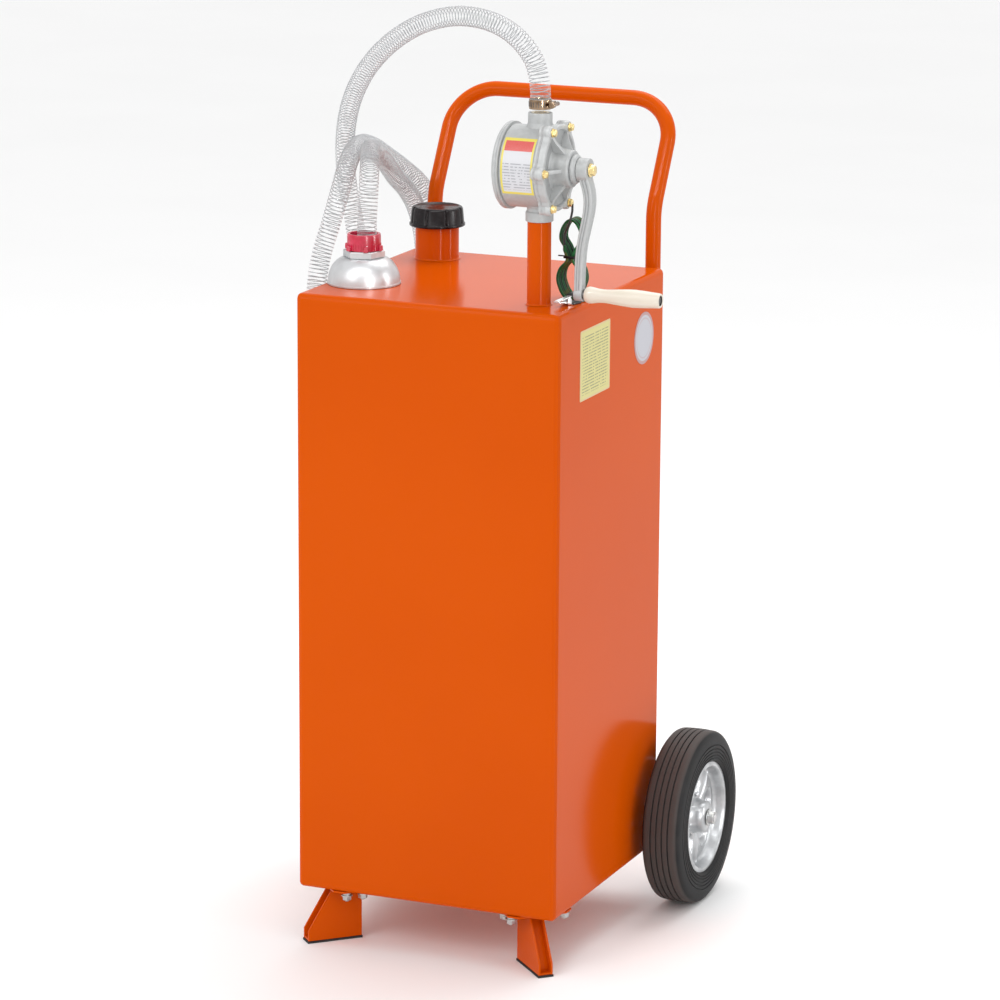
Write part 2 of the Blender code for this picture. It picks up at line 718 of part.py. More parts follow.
def make_riser(root):
    """Riser post on the tank and the suction tube that hangs in it."""
    place = (POST_X, POST_Y, BASE)
    welded_tube("riser_post", POST_R, POST_WALL, POST_HEIGHT, POST_WELD, root, place)
    radius = POST_R - POST_WALL - SEAT
    bore = radius - DIP_WALL
    low = TANK_LIFT + SHEET + DIP_FLOOR_GAP - BASE
    flare = low + FOOT_STRAINER_HEIGHT
    shoulder = FOOT_STRAINER_R - radius
    profile = [(bore, low + DIP_WALL), (bore, low), (FOOT_STRAINER_R - DIP_WALL, low),
               (FOOT_STRAINER_R, low + DIP_WALL), (FOOT_STRAINER_R, flare), (radius, flare + shoulder),
               (radius, DIP_INSERT), (bore, DIP_INSERT), (bore, flare + shoulder),
               (FOOT_STRAINER_R - DIP_WALL, flare), (FOOT_STRAINER_R - DIP_WALL, low + DIP_WALL)]
    tube = turned("suction_tube", profile, "steel", root, place, sides=TINY)
    middle = low + FOOT_STRAINER_HEIGHT / 2
    for i in range(FOOT_SLOTS):
        slot = prism(f"cutter_foot_slot_{i}",
                     box_outline(-FOOT_STRAINER_R - OVERRUN, FOOT_STRAINER_R + OVERRUN,
                                 -FOOT_SLOT_WIDTH / 2, FOOT_SLOT_WIDTH / 2),
                     middle - FOOT_SLOT_HEIGHT / 2, middle + FOOT_SLOT_HEIGHT / 2, "steel", root,
                     place, turn=(0, 0, pi * (i + 1 / 4) / FOOT_SLOTS))
        cut(tube, slot)


def bolt_places(ring=BOLT_RING_R):
    """Angle, Y and Z of each cover bolt, counted from straight up."""
    places = []
    for i in range(BOLTS):
        angle = tau * (i + 1 / 2) / BOLTS
        places.append((angle, ring * sin(angle), ring * cos(angle)))
    return places


def lobe_reach(angle):
    """Distance from the pump's axis to the lobed flange's edge in one direction."""
    reach = COVER_R
    for place, _, _ in bolt_places():
        aside = BOLT_RING_R * sin(angle - place)
        if cos(angle - place) > 0 and abs(aside) < COVER_LOBE_R:
            ahead = BOLT_RING_R * cos(angle - place)
            reach = max(reach, ahead + (COVER_LOBE_R ** 2 - aside ** 2) ** 0.5)
    return reach


def axis_ring(radius, along, aside=0.0):
    """Ring of points round the pump's axis: the radius is a number, or None for the lobed edge."""
    ring = []
    for place, _, _ in bolt_places():
        for turn in LOBE_SPREAD:
            angle = place + turn
            reach = lobe_reach(angle) if radius is None else radius
            ring.append((along, aside + reach * sin(angle), reach * cos(angle)))
    return ring


def at_bolts(name, radius, low, high, material, holder, sides=HIDDEN):
    """One tool with a round bar at each bolt."""
    bm = bmesh.new()
    for _, y, z in bolt_places():
        bar = turned_mesh(rod(radius, low, high), sides, "X")
        bmesh.ops.translate(bar, verts=bar.verts, vec=(0, y, z))
        mesh = bpy.data.meshes.new(name)
        bar.to_mesh(mesh)
        bar.free()
        bm.from_mesh(mesh)
        bpy.data.meshes.remove(mesh)
    return as_object(name, bm, material, holder)


def drill_bolts(piece, low, high, holder):
    """Bolt holes round a flange."""
    cut(piece, at_bolts(f"cutter_{piece.name}_bolts", BOLT_R + SEAT, low, high, "steel", holder))


def make_pump(root):
    """Rotary pump: housing, covers, rotor with two vanes, shaft and gland."""
    holder = empty("pump_axis", (PUMP_X, POST_Y, PUMP_Z), root)
    body_end = BODY_A + BODY_LENGTH
    chamber = (0, ROTOR_OFFSET, 0)

    back = body_end - BODY_FLANGE
    body = as_object("pump_body", skinned_mesh([axis_ring(PUMP_R, BODY_A), axis_ring(PUMP_R, back),
                                                axis_ring(None, back), axis_ring(None, body_end)]),
                     "cast grey", holder)
    drill_bolts(body, body_end - BOLT_REACH - SEAT, body_end + OVERRUN, holder)
    collar_low = PUMP_DROP - BOSS_COLLAR
    neck = INLET_BOSS_R - INLET_STEP
    join(body, turned("tool_ports", [(0, -PUMP_DROP), (INLET_BOSS_R, -PUMP_DROP), (INLET_BOSS_R, -collar_low),
                                     (neck, -collar_low - INLET_STEP), (neck, 0), (OUTLET_BOSS_R, 0),
                                     (OUTLET_BOSS_R, PUMP_DROP), (0, PUMP_DROP)],
                      "cast grey", holder, (PORT_SETBACK, 0, 0), sides=MEDIUM))
    cut(body, turned("cutter_chamber", rod(CHAMBER_R, BODY_A - OVERRUN, body_end + OVERRUN), "steel", holder,
                     chamber, sides=LARGE, axis="X"))
    cut(body, turned("cutter_ports", rod(PORT_R, -PUMP_DROP - OVERRUN, PUMP_DROP + OVERRUN), "steel", holder,
                     (PORT_SETBACK, 0, 0), sides=MEDIUM))

    rim = REAR_COVER_R - REAR_RIM
    turned("rear_cover", [(0, REAR_RIM), (rim - REAR_RIM, REAR_RIM), (rim, 0), (REAR_COVER_R, REAR_RIM),
                          (REAR_COVER_R, REAR_COVER_THICK), (SHAFT_R + SEAT, REAR_COVER_THICK),
                          (SHAFT_R + SEAT, REAR_COVER_THICK - SHAFT_POCKET),
                          (0, REAR_COVER_THICK - SHAFT_POCKET)], "cast grey", holder, sides=LARGE, axis="X")

    low, high = GASKET_A, GASKET_A + GASKET_SHEET
    gasket = as_object("cover_gasket", skinned_mesh([axis_ring(None, low), axis_ring(None, high),
                                                     axis_ring(CHAMBER_R, high, ROTOR_OFFSET),
                                                     axis_ring(CHAMBER_R, low, ROTOR_OFFSET)], closed=True),
                       "graphite", holder)
    drill_bolts(gasket, low - OVERRUN, high + OVERRUN, holder)

    make_front_cover(holder)
    for i, (_, y, z) in enumerate(bolt_places()):
        make_cover_bolt(i, y, z, holder)

    gland = [(SHAFT_R + SEAT, 0), (GLAND_R, 0), (GLAND_R, GLAND_LENGTH - GLAND_STEP),
             (GLAND_R - GLAND_STEP, GLAND_LENGTH), (SHAFT_R + SEAT, GLAND_LENGTH)]
    turned("shaft_gland", [(r, GLAND_A + a) for r, a in gland], "cast grey", holder, axis="X")

    tail_low = PUMP_DROP - TAIL_LENGTH
    tail_r = PORT_R - SEAT
    turned("outlet_tail", pipe(tail_r - TAIL_WALL, tail_r, tail_low, PUMP_DROP), "brass", holder,
           (PORT_SETBACK, 0, 0))

    shaft = turned("pump_shaft", rod(SHAFT_R, REAR_COVER_THICK - SHAFT_POCKET + SEAT, CRANK_END_A - SEAT),
                   "steel", holder, sides=MEDIUM, axis="X")
    cut(shaft, turned("cutter_shaft_end", rod(END_BOLT_R + SEAT, CRANK_END_A - END_BOLT_LENGTH - SEAT,
                                              CRANK_END_A + OVERRUN), "steel", holder, sides=SMALL, axis="X"))

    rotor_low = BODY_A + SEAT
    rotor_high = body_end - SEAT
    rotor = turned("rotor", pipe(SHAFT_R + SEAT, ROTOR_R, rotor_low, rotor_high), "steel", holder,
                   sides=LARGE, axis="X")
    for i, turn in enumerate((0, pi)):
        slot_root = ROTOR_R - VANE_HEIGHT - SEAT
        half = VANE_THICK / 2
        slot = prism(f"cutter_vane_slot_{i}",
                     box_outline(slot_root, ROTOR_R + OVERRUN, -half - SEAT, half + SEAT),
                     rotor_low - OVERRUN, rotor_high + OVERRUN, "steel", holder, axis="X", turn=(turn, 0, 0))
        cut(rotor, slot)
        prism(f"vane_{i + 1}", box_outline(ROTOR_R - VANE_HEIGHT, ROTOR_R, -half, half),
              rotor_low, rotor_high, "graphite", holder, axis="X", turn=(turn, 0, 0))
    return holder


def make_front_cover(holder):
    """Front cover: lobed flange, raised rim, hub and a rib to each bolt."""
    low, high = COVER_A, COVER_A + COVER_FLANGE
    rim_r = COVER_R - RIM_WIDTH
    hub_r = HUB_R + HUB_TAPER
    rings = [axis_ring(None, low), axis_ring(None, high + RIM_HEIGHT),
             axis_ring(rim_r, high + RIM_HEIGHT), axis_ring(rim_r, high - RIM_HEIGHT)]
    cover = as_object("front_cover", skinned_mesh(rings), "cast grey", holder)
    join(cover, turned("tool_cover_hub", [(0, low + RIM_HEIGHT), (hub_r, low + RIM_HEIGHT), (hub_r, high),
                                          (HUB_R, HUB_END_A - HUB_TAPER), (HUB_R - HUB_TAPER, HUB_END_A),
                                          (0, HUB_END_A)], "cast grey", holder, sides=MEDIUM, axis="X"))
    join(cover, at_bolts("tool_cover_lobes", COVER_LOBE_R - RIM_INSET, low + RIM_INSET, high + LOBE_PROUD,
                         "cast grey", holder, sides=SMALL))
    inner = HUB_R - HUB_TAPER - RIB_THICK
    outer = BOLT_RING_R - BOLT_WASHER_R - SEAT
    sunk = low + RIM_HEIGHT
    rib = [(inner, sunk), (outer, sunk), (outer, high + LOBE_PROUD - RIM_INSET),
           (HUB_R, HUB_END_A - RIB_DROP), (inner, HUB_END_A - RIB_DROP)]
    ribs = bmesh.new()
    half = RIB_THICK / 2
    for angle, _, _ in bolt_places():
        rows = []
        for aside in (-half, half):
            rows.append([ribs.verts.new((a, r * sin(angle) + aside * cos(angle),
                                         r * cos(angle) - aside * sin(angle))) for r, a in rib])
        ribs.faces.new(rows[0])
        ribs.faces.new(rows[1])
        for i in range(len(rib)):
            j = (i + 1) % len(rib)
            ribs.faces.new((rows[0][i], rows[0][j], rows[1][j], rows[1][i]))
    join(cover, as_object("tool_cover_ribs", ribs, "cast grey", holder))
    cut(cover, turned("cutter_cover_bore", rod(SHAFT_R + SEAT, low - OVERRUN, HUB_END_A + OVERRUN), "steel",
                      holder, sides=MEDIUM, axis="X"))
    drill_bolts(cover, low - OVERRUN, high + LOBE_PROUD + OVERRUN, holder)


def hex_bolt_profile(radius, shank_end, seat, washer_r, washer):
    """Profile of a shank with a washer under its head."""
    return [(0, shank_end), (radius, shank_end), (radius, seat), (washer_r, seat), (washer_r, seat + washer),
            (0, seat + washer)]


def make_cover_bolt(index, y, z, holder):
    """Hexagon bolt with its washer, through the cover into the housing's flange."""
    seat = COVER_A + COVER_FLANGE + LOBE_PROUD + SEAT
    profile = hex_bolt_profile(BOLT_R, BODY_A + BODY_LENGTH - BOLT_REACH, seat, BOLT_WASHER_R,
                               BOLT_WASHER_THICK)
    bolt = turned(f"cover_bolt_{index + 1}", profile, "brass", holder, (0, y, z), sides=HIDDEN, axis="X")
    head_low = seat + BOLT_WASHER_THICK / 2
    join(bolt, prism(f"tool_bolt_head_{index}", regular(HEX_SIDES, BOLT_HEAD_R), head_low,
                     seat + BOLT_WASHER_THICK + BOLT_HEAD_HEIGHT, "brass", holder, (0, y, z), axis="X"))


def make_crank(holder):
    """Crank arm, its end bolt, the grip's spindle and the wooden grip."""
    half_w, half_t = ARM_WIDTH / 2, ARM_THICK / 2
    groove = half_w * ARM_GROOVE_SHARE
    edge_w, edge_t = half_w - ARM_CHAMFER, half_t - ARM_CHAMFER
    section = [(0, half_t - ARM_GROOVE), (groove, half_t), (edge_w, half_t), (half_w, edge_t),
               (half_w, -edge_t), (edge_w, -half_t), (groove, -half_t), (0, -half_t + ARM_GROOVE),
               (-groove, -half_t), (-edge_w, -half_t), (-half_w, -edge_t), (-half_w, edge_t),
               (-edge_w, half_t), (-groove, half_t)]
    path = [Vector((CRANK_MID_A + ARM_BOW * out, 0, -CRANK_LENGTH * drop)) for drop, out in ARM_PATH_SHARES]
    arm = as_object("crank_arm", swept_mesh(path, section, (0, 1, 0)), "cast grey", holder)
    join(arm, turned("tool_arm_boss", rod(CRANK_BOSS_R, CRANK_A, CRANK_END_A), "cast grey", holder, axis="X"))
    end_low = SPINDLE_A
    end_high = SPINDLE_A + ARM_END_LENGTH
    join(arm, turned("tool_arm_end", rod(ARM_END_R, end_low, end_high), "cast grey", holder,
                     (0, 0, -CRANK_LENGTH), sides=MEDIUM, axis="X"))
    cut(arm, turned("cutter_arm_bore", rod(SHAFT_R + SEAT, CRANK_A - OVERRUN, CRANK_END_A + OVERRUN), "steel",
                    holder, sides=MEDIUM, axis="X"))
    cut(arm, turned("cutter_arm_end", rod(SPINDLE_R + SEAT, end_low - OVERRUN, end_high + OVERRUN), "steel",
                    holder, (0, 0, -CRANK_LENGTH), sides=SMALL, axis="X"))

    seat = CRANK_END_A + SEAT
    bolt = turned("crank_bolt", hex_bolt_profile(END_BOLT_R, CRANK_END_A - END_BOLT_LENGTH, seat,
                                                 END_BOLT_WASHER_R, END_BOLT_WASHER_THICK),
                  "brass", holder, sides=SMALL, axis="X")
    join(bolt, prism("tool_crank_bolt_head", regular(HEX_SIDES, END_BOLT_HEAD_R),
                     seat + END_BOLT_WASHER_THICK / 2,
                     seat + END_BOLT_WASHER_THICK + END_BOLT_HEAD_HEIGHT, "brass", holder, axis="X"))

    grip = empty("grip_axis", (0, 0, -CRANK_LENGTH), holder)
    head_low = GRIP_A + GRIP_LENGTH - GRIP_RECESS + SEAT
    turned("grip_spindle", [(0, end_low), (SPINDLE_R, end_low), (SPINDLE_R, COLLAR_A),
                            (SPINDLE_COLLAR_R, COLLAR_A), (SPINDLE_COLLAR_R, COLLAR_A + SPINDLE_COLLAR),
                            (SPINDLE_R, COLLAR_A + SPINDLE_COLLAR), (SPINDLE_R, head_low),
                            (SPINDLE_HEAD_R, head_low), (SPINDLE_HEAD_R, head_low + SPINDLE_HEAD),
                            (0, head_low + SPINDLE_HEAD)], "steel", grip, sides=SMALL, axis="X")
    bore = SPINDLE_R + SEAT
    outer = [(GRIP_R * share, GRIP_A + GRIP_LENGTH * along) for along, share in GRIP_SHARES]
    end = GRIP_A + GRIP_LENGTH
    profile = [(bore, GRIP_A)] + outer + [(GRIP_RECESS_R, end), (GRIP_RECESS_R, end - GRIP_RECESS),
                                          (bore, end - GRIP_RECESS)]
    turned("crank_grip", profile, "wood", grip, sides=MEDIUM, axis="X")


def make_hose(root):
    """Delivery hose along its looped route, and the worm-drive clamp on the outlet."""
    points = smooth_route(HOSE_ROUTE, HOSE_POINTS)
    tube_along("hose", points, HOSE_R, "clear hose", root, resolution=2)
    print("hose: least gap to itself", round(least_gap(points, HOSE_R) * 1000, 2), "mm")
    low = OUTLET_TOP + SEAT + CLAMP_RISE
    place = (POST_X, POST_Y, low)
    bore = HOSE_R + SEAT
    clamp = turned("hose_clamp", pipe(bore, bore + CLAMP_BAND, 0, CLAMP_WIDTH), "steel", root, place)
    middle = CLAMP_WIDTH / 2
    box = box_outline(bore + CLAMP_BAND / 2, CLAMP_BOX_REACH - CLAMP_SCREW_R, -CLAMP_BOX_WIDTH / 2,
                      CLAMP_BOX_WIDTH / 2)
    join(clamp, prism("tool_clamp_box", box, middle - CLAMP_BOX_HEIGHT / 2, middle + CLAMP_BOX_HEIGHT / 2,
                      "steel", root, place))
    half = CLAMP_SCREW_LENGTH / 2
    join(clamp, turned("tool_clamp_screw", rod(CLAMP_SCREW_R, -half, half), "steel", root, (POST_X + CLAMP_BOX_REACH - CLAMP_SCREW_R, POST_Y, low + middle),
                       sides=TINY, axis="Y"))


def make_strainer(root):
    """Bell strainer that stands on the tank: bell, perforated disc, hexagon neck and collar."""
    place = (BELL_X, BELL_Y, BASE)
    top = BELL_HEIGHT
    arc = []
    inner = []
    steps = 5
    rise = top - BELL_LIP
    waist = BELL_R - BELL_LIP_STEP
    for step in range(steps + 1):
        angle = pi / 2 * step / steps
        arc.append((BELL_TOP_R + (waist - BELL_TOP_R) * cos(angle), BELL_LIP + rise * sin(angle)))
        if step % 2 == 0 or step == steps:
            inner.append((BELL_TOP_R + (waist - BELL_TOP_R - BELL_WALL) * cos(angle),
                          BELL_LIP + (rise - BELL_WALL) * sin(angle)))
    mouth = BELL_R - BELL_LIP_STEP - BELL_WALL
    profile = ([(mouth, 0), (BELL_R, 0), (BELL_R, BELL_LIP)] + arc
               + [(BELL_BORE_R, top), (BELL_BORE_R, top - BELL_WALL)] + inner[::-1])
    turned("strainer_bell", profile, "silver shell", root, place, sides=LARGE)

    disc = turned("strainer_mesh", rod(mouth - SEAT, DISC_RISE, DISC_RISE + DISC_THICK), "silver shell", root,
                  place, sides=LARGE)
    holes = bmesh.new()
    for ring, count in DISC_HOLE_RINGS:
        for i in range(count):
            angle = tau * i / count
            center = (ring * DISC_HOLE_PITCH * cos(angle), ring * DISC_HOLE_PITCH * sin(angle), DISC_RISE)
            spot = bmesh.ops.create_cone(holes, cap_ends=True, segments=6, radius1=DISC_HOLE_R,
                                         radius2=DISC_HOLE_R, depth=2 * OVERRUN)
            bmesh.ops.translate(holes, verts=spot["verts"], vec=center)
    cut(disc, as_object("cutter_disc_holes", holes, "steel", root, place))

    nut_low = top + SEAT
    nut_high = nut_low + NUT_HEIGHT
    spigot_high = HOSE_ROUTE[-1][2] - SEAT - BASE
    corner = NUT_FLATS / 2 / cos(pi / HEX_SIDES)
    neck = prism("strainer_neck", regular(HEX_SIDES, corner, pi / 12), nut_low, nut_high, "silver shell",
                 root, place)
    join(neck, turned("tool_spigot", rod(SPIGOT_R, nut_low, spigot_high), "silver shell", root, place))
    cut(neck, turned("cutter_neck_bore", rod(BELL_BORE_R, nut_low - OVERRUN, spigot_high + OVERRUN), "steel",
                     root, place, sides=SMALL))

    low = nut_high + SEAT
    high = low + COLLAR_HEIGHT
    seat = spigot_high + SEAT
    profile = [(SPIGOT_R + SEAT, low), (COLLAR_R, low), (COLLAR_R, high - COLLAR_RIM),
               (COLLAR_R - COLLAR_RIM, high), (COLLAR_MOUTH_R, high), (COLLAR_MOUTH_R, seat),
               (SPIGOT_R + SEAT, seat)]
    collar = turned("hose_collar", profile, "crimson plastic", root, place, sides=LARGE)
    for i in range(LUGS):
        lug = box_outline(SPIGOT_R + (COLLAR_R - SPIGOT_R) / 2, LUG_REACH, -LUG_WIDTH / 2, LUG_WIDTH / 2)
        join(collar, prism(f"tool_collar_lug_{i}", lug, low, low + LUG_HEIGHT, "crimson plastic", root, place,
                           turn=(0, 0, tau * i / LUGS)))


def hank_points():
    """Centre line of the wound lead: loops drawn in at the waist, then a tail that turns to the clip."""
    floor = BASE + WIRE_R
    middle = floor + (HANK_HEIGHT - 2 * WIRE_R) / 2
    reach = (HANK_HEIGHT - 2 * WIRE_R) / 2
    waist = BASE + HANK_WAIST_RISE
    half_waist = WIRE_R + HANK_GAP / 2
    points = []
    first = LOOP_POINTS // 4 - 1
    last = HANK_LOOPS * LOOP_POINTS + LOOP_POINTS // 2
    for i in range(first, last + 1):
        turns, at = divmod(i, LOOP_POINTS)
        angle = tau * at / LOOP_POINTS
        z = middle + reach * cos(angle)
        drawn = 1 - exp(-((z - waist) / HANK_WAIST_REACH) ** 2)
        width = half_waist + (HANK_LOBE - half_waist) * drawn
        climb = min(1.0, max(0.0, (at / LOOP_POINTS - 0.5) / 0.5))
        points.append(Vector((HANK_X - width * sin(angle), HANK_Y + HANK_PITCH * (turns + climb), z)))
    start = points[0] + Vector((0, 0, 3 * WIRE_R))
    points.insert(0, start)
    heading = Vector((cos(CLIP_HEADING), sin(CLIP_HEADING), 0))
    rear = Vector((CLIP_X, CLIP_Y, floor))
    turn = tau - CLIP_HEADING
    bend = TAIL_BEND_R
    first_y = points[-1].y
    back = (first_y - bend * (1 - cos(turn)) - rear.y) / heading.y
    first_x = rear.x + heading.x * back - bend * sin(turn)
    steps = 8
    for step in range(steps + 1):
        angle = turn * step / steps
        points.append(Vector((first_x + bend * sin(angle), first_y - bend * (1 - cos(angle)), floor)))
    points.append(rear - heading * SEAT)
    return points


def make_grounding(root, pump):
    """Black lead from the cover bolt, green hank with its tie, and the spring clip."""
    hank = hank_points()
    tube_along("ground_hank", hank, WIRE_R, "green wire", root, resolution=1)
    print("hank: least gap to itself", round(least_gap(hank, WIRE_R) * 1000, 2), "mm")

    _, y, z = bolt_places()[2]
    seat = COVER_A + COVER_FLANGE + LOBE_PROUD + SEAT + BOLT_WASHER_THICK
    start = Vector((PUMP_X + seat, POST_Y + y, PUMP_Z + z - BOLT_WASHER_R - LEAD_R))
    end = hank[0] + Vector((0, 0, SEAT))
    drop = start.z - end.z
    knots = [start]
    for across, height in LEAD_KNOT_SHARES:
        knots.append(Vector((start.x + (end.x - start.x) * across, start.y + (end.y - start.y) * across,
                             end.z + drop * height)))
    knots.append(end)
    tube_along("ground_lead", smooth_route(knots, 16), LEAD_R, "black rubber", root, resolution=2)

    waist = BASE + HANK_WAIST_RISE
    runs = [low.lerp(high, step / 8) for low, high in zip(hank, hank[1:]) for step in range(8)]
    near = [point for point in runs if abs(point.z - waist) < TIE_WIDTH / 2 + WIRE_R]
    low_y = min(point.y for point in near) - WIRE_R - SEAT
    high_y = max(point.y for point in near) + WIRE_R + SEAT
    half_x = max(abs(point.x - HANK_X) for point in near) + WIRE_R + SEAT
    depth = high_y - low_y
    inner = rounded_rectangle(2 * half_x, depth, WIRE_R)
    outer = rounded_rectangle(2 * (half_x + TIE_THICK), depth + 2 * TIE_THICK, WIRE_R + TIE_THICK)
    low, high = -TIE_WIDTH / 2, TIE_WIDTH / 2
    rings = [[(px, py, low) for px, py in outer], [(px, py, high) for px, py in outer],
             [(px, py, high) for px, py in inner], [(px, py, low) for px, py in inner]]
    place = (HANK_X, (low_y + high_y) / 2, waist)
    tie = as_object("hank_tie", skinned_mesh(rings, closed=True), "black plastic", root, place)
    join(tie, turned("tool_tie_tail", rod(TIE_THICK, -half_x - TIE_TAIL, -half_x - TIE_THICK / 2),
                     "black plastic", root, (place[0], low_y + depth / 4, waist), sides=TINY, axis="X"))
    make_clip(root)


def make_clip(root):
    """Spring clip that lies on the tank: lower jaw with the pin, upper jaw, torsion spring."""
    holder = empty("clip_frame", (CLIP_X, CLIP_Y, BASE), root)
    holder.rotation_euler = (0, 0, CLIP_HEADING)
    half = CLIP_WIDTH / 2
    pivot_l = CLIP_LENGTH * CLIP_PIVOT_SHARE
    pivot_z = CLIP_OPEN / 2
    jaw_z = pivot_z
    t = CLIP_SHEET
    (under_l, _), (crook_l, crook_z) = [(pivot_l * l, pivot_z * z) for l, z in LOWER_JAW_SHARES]
    (crown_l, crown_z), (nape_l, nape_z) = [(pivot_l * l, pivot_z + CLIP_EAR_R * z) for l, z in UPPER_JAW_SHARES]
    lower = [(0, 0), (under_l, 0), (crook_l, crook_z), (CLIP_LENGTH, jaw_z - t - SEAT / 2),
             (CLIP_LENGTH, jaw_z - SEAT / 2), (crook_l - t / 2, crook_z + t), (under_l - t / 2, t), (0, t)]
    upper = [(0, CLIP_OPEN - t), (crown_l, crown_z), (nape_l, nape_z), (CLIP_LENGTH, jaw_z + SEAT / 2),
             (CLIP_LENGTH, jaw_z + t + SEAT / 2), (nape_l, nape_z + t), (crown_l, crown_z + t), (0, CLIP_OPEN)]

    def upright(outline, low, high):
        """Prism of an outline in length and height, across the clip's width."""
        bm = prism_mesh(outline, low, high)
        stand = Matrix(((1, 0, 0), (0, 0, 1), (0, 1, 0)))
        bmesh.ops.transform(bm, matrix=stand.to_4x4(), verts=bm.verts)
        return bm

    jaw = as_object("clip_lower", upright(lower, -half, half), "steel", holder)
    upper_holder = empty("clip_pivot", (pivot_l, 0, pivot_z), holder)
    top = as_object("clip_upper", upright([(l - pivot_l, z - pivot_z) for l, z in upper],
                                          -half + t + SEAT, half - t - SEAT), "steel", upper_holder)
    ear_top = CLIP_EAR_R * EAR_SHARE
    ear_low = [(pivot_l - CLIP_EAR_R, t / 2), (pivot_l + CLIP_EAR_R, t / 2),
               (pivot_l + CLIP_EAR_R, pivot_z), (pivot_l + CLIP_EAR_R / 2, pivot_z + ear_top),
               (pivot_l - CLIP_EAR_R / 2, pivot_z + ear_top), (pivot_l - CLIP_EAR_R, pivot_z)]
    for i, side in enumerate((-1, 1)):
        low, high = sorted((side * half, side * (half - t)))
        join(jaw, as_object(f"tool_clip_ear_{i}", upright(ear_low, low, high), "steel", holder))
        low, high = sorted((side * (half - t - SEAT), side * (half - 2 * t - SEAT)))
        ear = box_outline(-ear_top, ear_top, -CLIP_EAR_R * EAR_DROP_SHARE, CLIP_EAR_R)
        join(top, as_object(f"tool_upper_ear_{i}", upright(ear, low, high), "steel", upper_holder))
    join(jaw, turned("tool_clip_pin", rod(CLIP_PIN_R, -half + t / 2, half - t / 2), "steel", holder,
                     (pivot_l, 0, pivot_z), sides=TINY, axis="Y"))
    cut(top, turned("cutter_clip_pin", rod(CLIP_PIN_R + SEAT, -half, half), "steel", upper_holder,
                    sides=TINY, axis="Y"))
    boot_half = half + BOOT_WALL
    boot = [(0, 0), (BOOT_LENGTH, 0), (BOOT_LENGTH, t + BOOT_WALL), (0, t + 2 * BOOT_WALL)]
    join(jaw, as_object("tool_lower_boot", upright(boot, -boot_half, boot_half), "green wire", holder))
    slope = (CLIP_OPEN - t - crown_z) / crown_l
    boot = [(0, CLIP_OPEN - t - BOOT_WALL), (BOOT_LENGTH, CLIP_OPEN - t - BOOT_WALL - slope * BOOT_LENGTH),
            (BOOT_LENGTH, CLIP_OPEN + BOOT_WALL - slope * BOOT_LENGTH), (0, CLIP_OPEN + BOOT_WALL)]
    join(top, as_object("tool_upper_boot", upright([(l - pivot_l, z - pivot_z) for l, z in boot],
                                                   -boot_half, boot_half), "green wire", upper_holder))
    room = half - 2 * t - 2 * SEAT - SPRING_WIRE_R
    coil = []
    count = SPRING_TURNS * 10
    for i in range(count + 1):
        angle = tau * i / 10
        coil.append(Vector((SPRING_R * cos(angle), -room + 2 * room * i / count, SPRING_R * sin(angle))))
    spring = tube_along("clip_spring", coil, SPRING_WIRE_R, "steel", upper_holder, resolution=1)
    spring_gap = 2 * room / SPRING_TURNS - 2 * SPRING_WIRE_R
    print("clip spring: least gap to itself", round(spring_gap * 1000, 2), "mm")
    return spring


def make_handle(root):
    """Bent push handle behind the tank, on two standoff strips with four bolts."""
    foot_z = TANK_TOP - HANDLE_FOOT_DROP
    knee_z = TANK_TOP + HANDLE_KNEE
    top_z = TANK_TOP + HANDLE_TOP_RISE
    top_y = HANDLE_Y + HANDLE_LEAN
    corners = [(-HANDLE_HALF, HANDLE_Y, foot_z), (-HANDLE_HALF, HANDLE_Y, knee_z),
               (-HANDLE_HALF, top_y, top_z), (HANDLE_HALF, top_y, top_z),
               (HANDLE_HALF, HANDLE_Y, knee_z), (HANDLE_HALF, HANDLE_Y, foot_z)]
    radii = (HANDLE_KNEE_R, HANDLE_CORNER_R, HANDLE_CORNER_R, HANDLE_KNEE_R)
    path = filleted_path(corners, radii)
    handle = as_object("handle", round_sweep(path, HANDLE_R), "orange paint", root)
    wall_y = TANK_HALF_Y + SEAT
    leg_y = HANDLE_Y - HANDLE_R - SEAT
    for side, word in ((-1, "left"), (1, "right")):
        x = side * HANDLE_HALF
        top = TANK_TOP - HANDLE_BOLT_TOP_DROP
        low = top - HANDLE_BOLT_SPACING
        middle = (top + low) / 2
        half = STANDOFF_LENGTH / 2
        strip = prism(f"handle_standoff_{word}",
                      box_outline(x - STANDOFF_WIDTH / 2, x + STANDOFF_WIDTH / 2, wall_y, leg_y),
                      middle - half, middle + half, "orange paint", root)
        for i, z in enumerate((top, low)):
            back = HANDLE_Y + HANDLE_R + SEAT
            bite = leg_y - HANDLE_BOLT_BITE
            bore = rod(HANDLE_BOLT_R + SEAT, bite - SEAT, back + OVERRUN)
            tool = turned(f"cutter_handle_{word}_{i}", bore, "steel", root, (x, 0, z), sides=TINY, axis="Y")
            cut(handle, tool)
            cut(strip, tool)
            bolt = turned(f"handle_bolt_{2 * (side > 0) + i + 1}",
                          hex_bolt_profile(HANDLE_BOLT_R, bite, back, HANDLE_WASHER_R, HANDLE_WASHER),
                          "zinc", root, (x, 0, z), sides=TINY, axis="Y")
            join(bolt, prism(f"tool_handle_head_{word}_{i}", regular(HEX_SIDES, HANDLE_BOLT_HEAD_R),
                             back + HANDLE_WASHER / 2, back + HANDLE_WASHER + HANDLE_BOLT_HEAD, "zinc", root,
                             (x, 0, z), axis="Y"))


